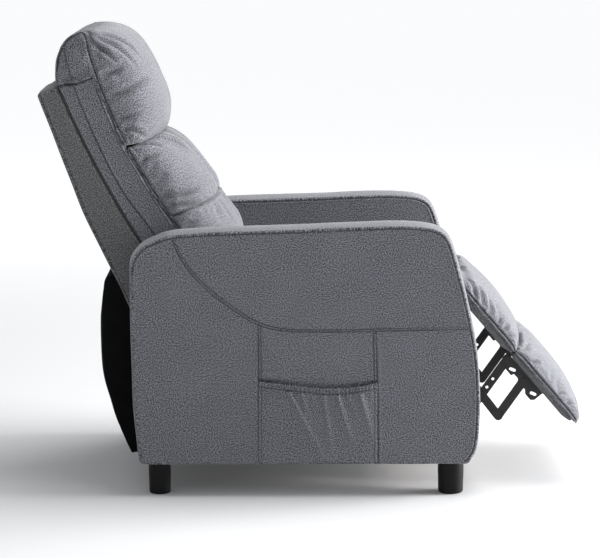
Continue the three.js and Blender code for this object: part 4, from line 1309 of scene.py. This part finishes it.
def timber_material():
    material, tree, surface = new_surface("frame_timber", Roughness=0.7)
    where = wire_up(tree, "ShaderNodeTexCoord").outputs["Object"]
    drawn = wire_up(tree, "ShaderNodeMapping", Vector=where, Scale=(6.0, 55.0, 55.0))
    rings = wire_up(tree, "ShaderNodeTexNoise", Vector=drawn.outputs[0], Scale=1.6, Detail=6.0,
                    Distortion=1.2).outputs["Fac"]
    tint = mix_colours(tree, rings, (0.36, 0.22, 0.11, 1), (0.62, 0.45, 0.27, 1))
    tree.links.new(tint, surface.inputs["Base Color"])
    roughen(tree, surface, 0.3, 0.0005, rings)
    return material


timber = timber_material()
webbing = worn_material("webbing_strap", (0.09, 0.085, 0.08, 1), (0.17, 0.16, 0.15, 1), 0.8, scale=260.0,
                        amount=0.8, bump_depth=0.0012)
for node in both("arm_frame") + ["front_rail", "rear_rail", "seat_frame", "back_frame"]:
    finished(node, timber, "timber", 1.2)
for k in range(1, 4):
    finished(f"back_strap_{k}", webbing, "webbing", 0.4)
for node in ("upper_leg_board", "lower_leg_board"):
    finished(node, dark_cloth, "dark_fabric", 3.0, uv=True)


# ------------------------------------------------------------------ topstitching
# Dark polyester thread, in stitches about 4 mm long, follows every seam that shows. One node
# tree lays a stitch at even steps along each row, and each moving part gets its own thread.


def build_stitcher():
    """A node tree that turns rows of edges into rows of stitches."""
    tree = bpy.data.node_groups.new("stitch_rows", "GeometryNodeTree")
    face = tree.interface
    face.new_socket("Rows", in_out="INPUT", socket_type="NodeSocketGeometry")
    sockets = {}
    for label, value in (("Step", 0.0046), ("Stitch Length", 0.0034), ("Thread Radius", 0.00042)):
        sockets[label] = face.new_socket(label, in_out="INPUT", socket_type="NodeSocketFloat")
        sockets[label].default_value = value
    sockets["Thread"] = face.new_socket("Thread", in_out="INPUT", socket_type="NodeSocketMaterial")
    face.new_socket("Stitches", in_out="OUTPUT", socket_type="NodeSocketGeometry")
    given, result = tree.nodes.new("NodeGroupInput"), tree.nodes.new("NodeGroupOutput")
    curve = tree.nodes.new("GeometryNodeMeshToCurve")
    even = tree.nodes.new("GeometryNodeResampleCurve")
    even.mode = "LENGTH"
    tangent = tree.nodes.new("GeometryNodeInputTangent")
    turn = tree.nodes.new("FunctionNodeAlignRotationToVector")
    turn.axis = "Z"
    bead = tree.nodes.new("GeometryNodeMeshUVSphere")
    bead.inputs["Segments"].default_value, bead.inputs["Rings"].default_value = 6, 5
    bead.inputs["Radius"].default_value = 1.0
    half = tree.nodes.new("ShaderNodeMath")
    half.operation, half.inputs[1].default_value = "MULTIPLY", 0.5
    size = tree.nodes.new("ShaderNodeCombineXYZ")
    lay = tree.nodes.new("GeometryNodeInstanceOnPoints")
    real = tree.nodes.new("GeometryNodeRealizeInstances")
    smooth = tree.nodes.new("GeometryNodeSetShadeSmooth")
    dye = tree.nodes.new("GeometryNodeSetMaterial")
    for start, end in (
        (given.outputs["Rows"], curve.inputs["Mesh"]), (curve.outputs["Curve"], even.inputs["Curve"]),
        (given.outputs["Step"], even.inputs["Length"]), (tangent.outputs["Tangent"], turn.inputs["Vector"]),
        (given.outputs["Stitch Length"], half.inputs[0]), (given.outputs["Thread Radius"], size.inputs["X"]),
        (given.outputs["Thread Radius"], size.inputs["Y"]), (half.outputs[0], size.inputs["Z"]),
        (even.outputs["Curve"], lay.inputs["Points"]), (bead.outputs["Mesh"], lay.inputs["Instance"]),
        (turn.outputs["Rotation"], lay.inputs["Rotation"]), (size.outputs[0], lay.inputs["Scale"]),
        (lay.outputs["Instances"], real.inputs["Geometry"]),
        (real.outputs["Geometry"], smooth.inputs["Geometry"]),
        (smooth.outputs["Geometry"], dye.inputs["Geometry"]),
        (given.outputs["Thread"], dye.inputs["Material"]),
        (dye.outputs["Geometry"], result.inputs["Stitches"]),
    ):
        tree.links.new(start, end)
    return tree, {label: socket.identifier for label, socket in sockets.items()}


stitcher, stitch_inputs = build_stitcher()
thread = worn_material("polyester_thread", (0.022, 0.022, 0.026, 1), (0.05, 0.05, 0.055, 1), 0.6, scale=300.0,
                       amount=0.4, bump_depth=0.0001)


def topstitch(name, body, rows):
    """Lays stitches along rows that belong to the same moving part, as one plain mesh."""
    points, edges = [], []
    for row in rows:
        start = len(points)
        points += [tuple(p) for p in row]
        edges += [(k, k + 1) for k in range(start, len(points) - 1)]
    mesh = bpy.data.meshes.new(name)
    mesh.from_pydata(points, edges, [])
    piece = bpy.data.objects.new(name, mesh)
    bpy.context.scene.collection.objects.link(piece)
    sewing = piece.modifiers.new("sewing", "NODES")
    sewing.node_group = stitcher
    sewing[stitch_inputs["Step"]] = 4.6 * MM
    sewing[stitch_inputs["Stitch Length"]] = 3.4 * MM
    sewing[stitch_inputs["Thread"]] = thread
    graph = bpy.context.evaluated_depsgraph_get()
    sewn = bpy.data.meshes.new_from_object(piece.evaluated_get(graph), depsgraph=graph)
    piece.modifiers.clear()
    piece.data = sewn
    if not sewn.materials:
        sewn.materials.append(thread)
    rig.ride(piece, body)


arm_rows = []
for arm, rows in ((arm_left, arm_left_rows), (arm_right, arm_right_rows)):
    arm_rows += [settle_on(arm, row, lift=0.1) for row in rows]
    x_outer = 340 if arm is arm_left else -340
    arm_rows.append(settle_on(arm, on_side(rim_line(), x_outer), lift=0.1))
topstitch("arm_topstitching", "base", arm_rows + [hem_line + (-0.0003, 0, 0)])
back_rows = [settle_on(lumbar, line + (0, 0.0036, 0.003), lift=0.1) for line in lumbar_seams]
back_rows += [settle_on(lumbar, line + (0, -0.0036, -0.003), lift=0.1) for line in lumbar_seams]
for x in (-236, 236):
    back_rows.append(settle_on(gusset, on_side(gusset_front + (-6, -4), x)[4:-6], lift=0.1))
    back_rows.append(settle_on(gusset, on_side(gusset_seam, x)[26:-4], lift=0.1))
    back_rows.append(settle_on(headrest, on_side(gusset_seam, x)[:22], lift=0.1))
for puff, edges in ((headrest, head_edges), (lumbar, lumbar_edges)):
    for edge in edges:
        back_rows.append(settle_on(puff, edge[3:52] + (0, -0.006, 0.003), lift=0.1))
topstitch("back_topstitching", "back", back_rows)
pad_rows = []
for pad in (upper_pad, lower_pad):
    pad_rows += [settle_on(pad, edge[8:-8] + (0, -0.0035, 0.003), lift=0.1) for edge in pad_edges[pad]]
topstitch("footrest_topstitching", "footrest", pad_rows)
topstitch("seat_topstitching", "seat", [
    settle_on(seat_pad, edge[8:-8] + (0, 0, 0.004), lift=0.1) for edge in pad_edges[seat_pad]])


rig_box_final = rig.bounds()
with open("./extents.json", "w") as report:
    json.dump({"cad": [list(c) for c in cad_box], "visual": [list(c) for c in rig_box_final]}, report)
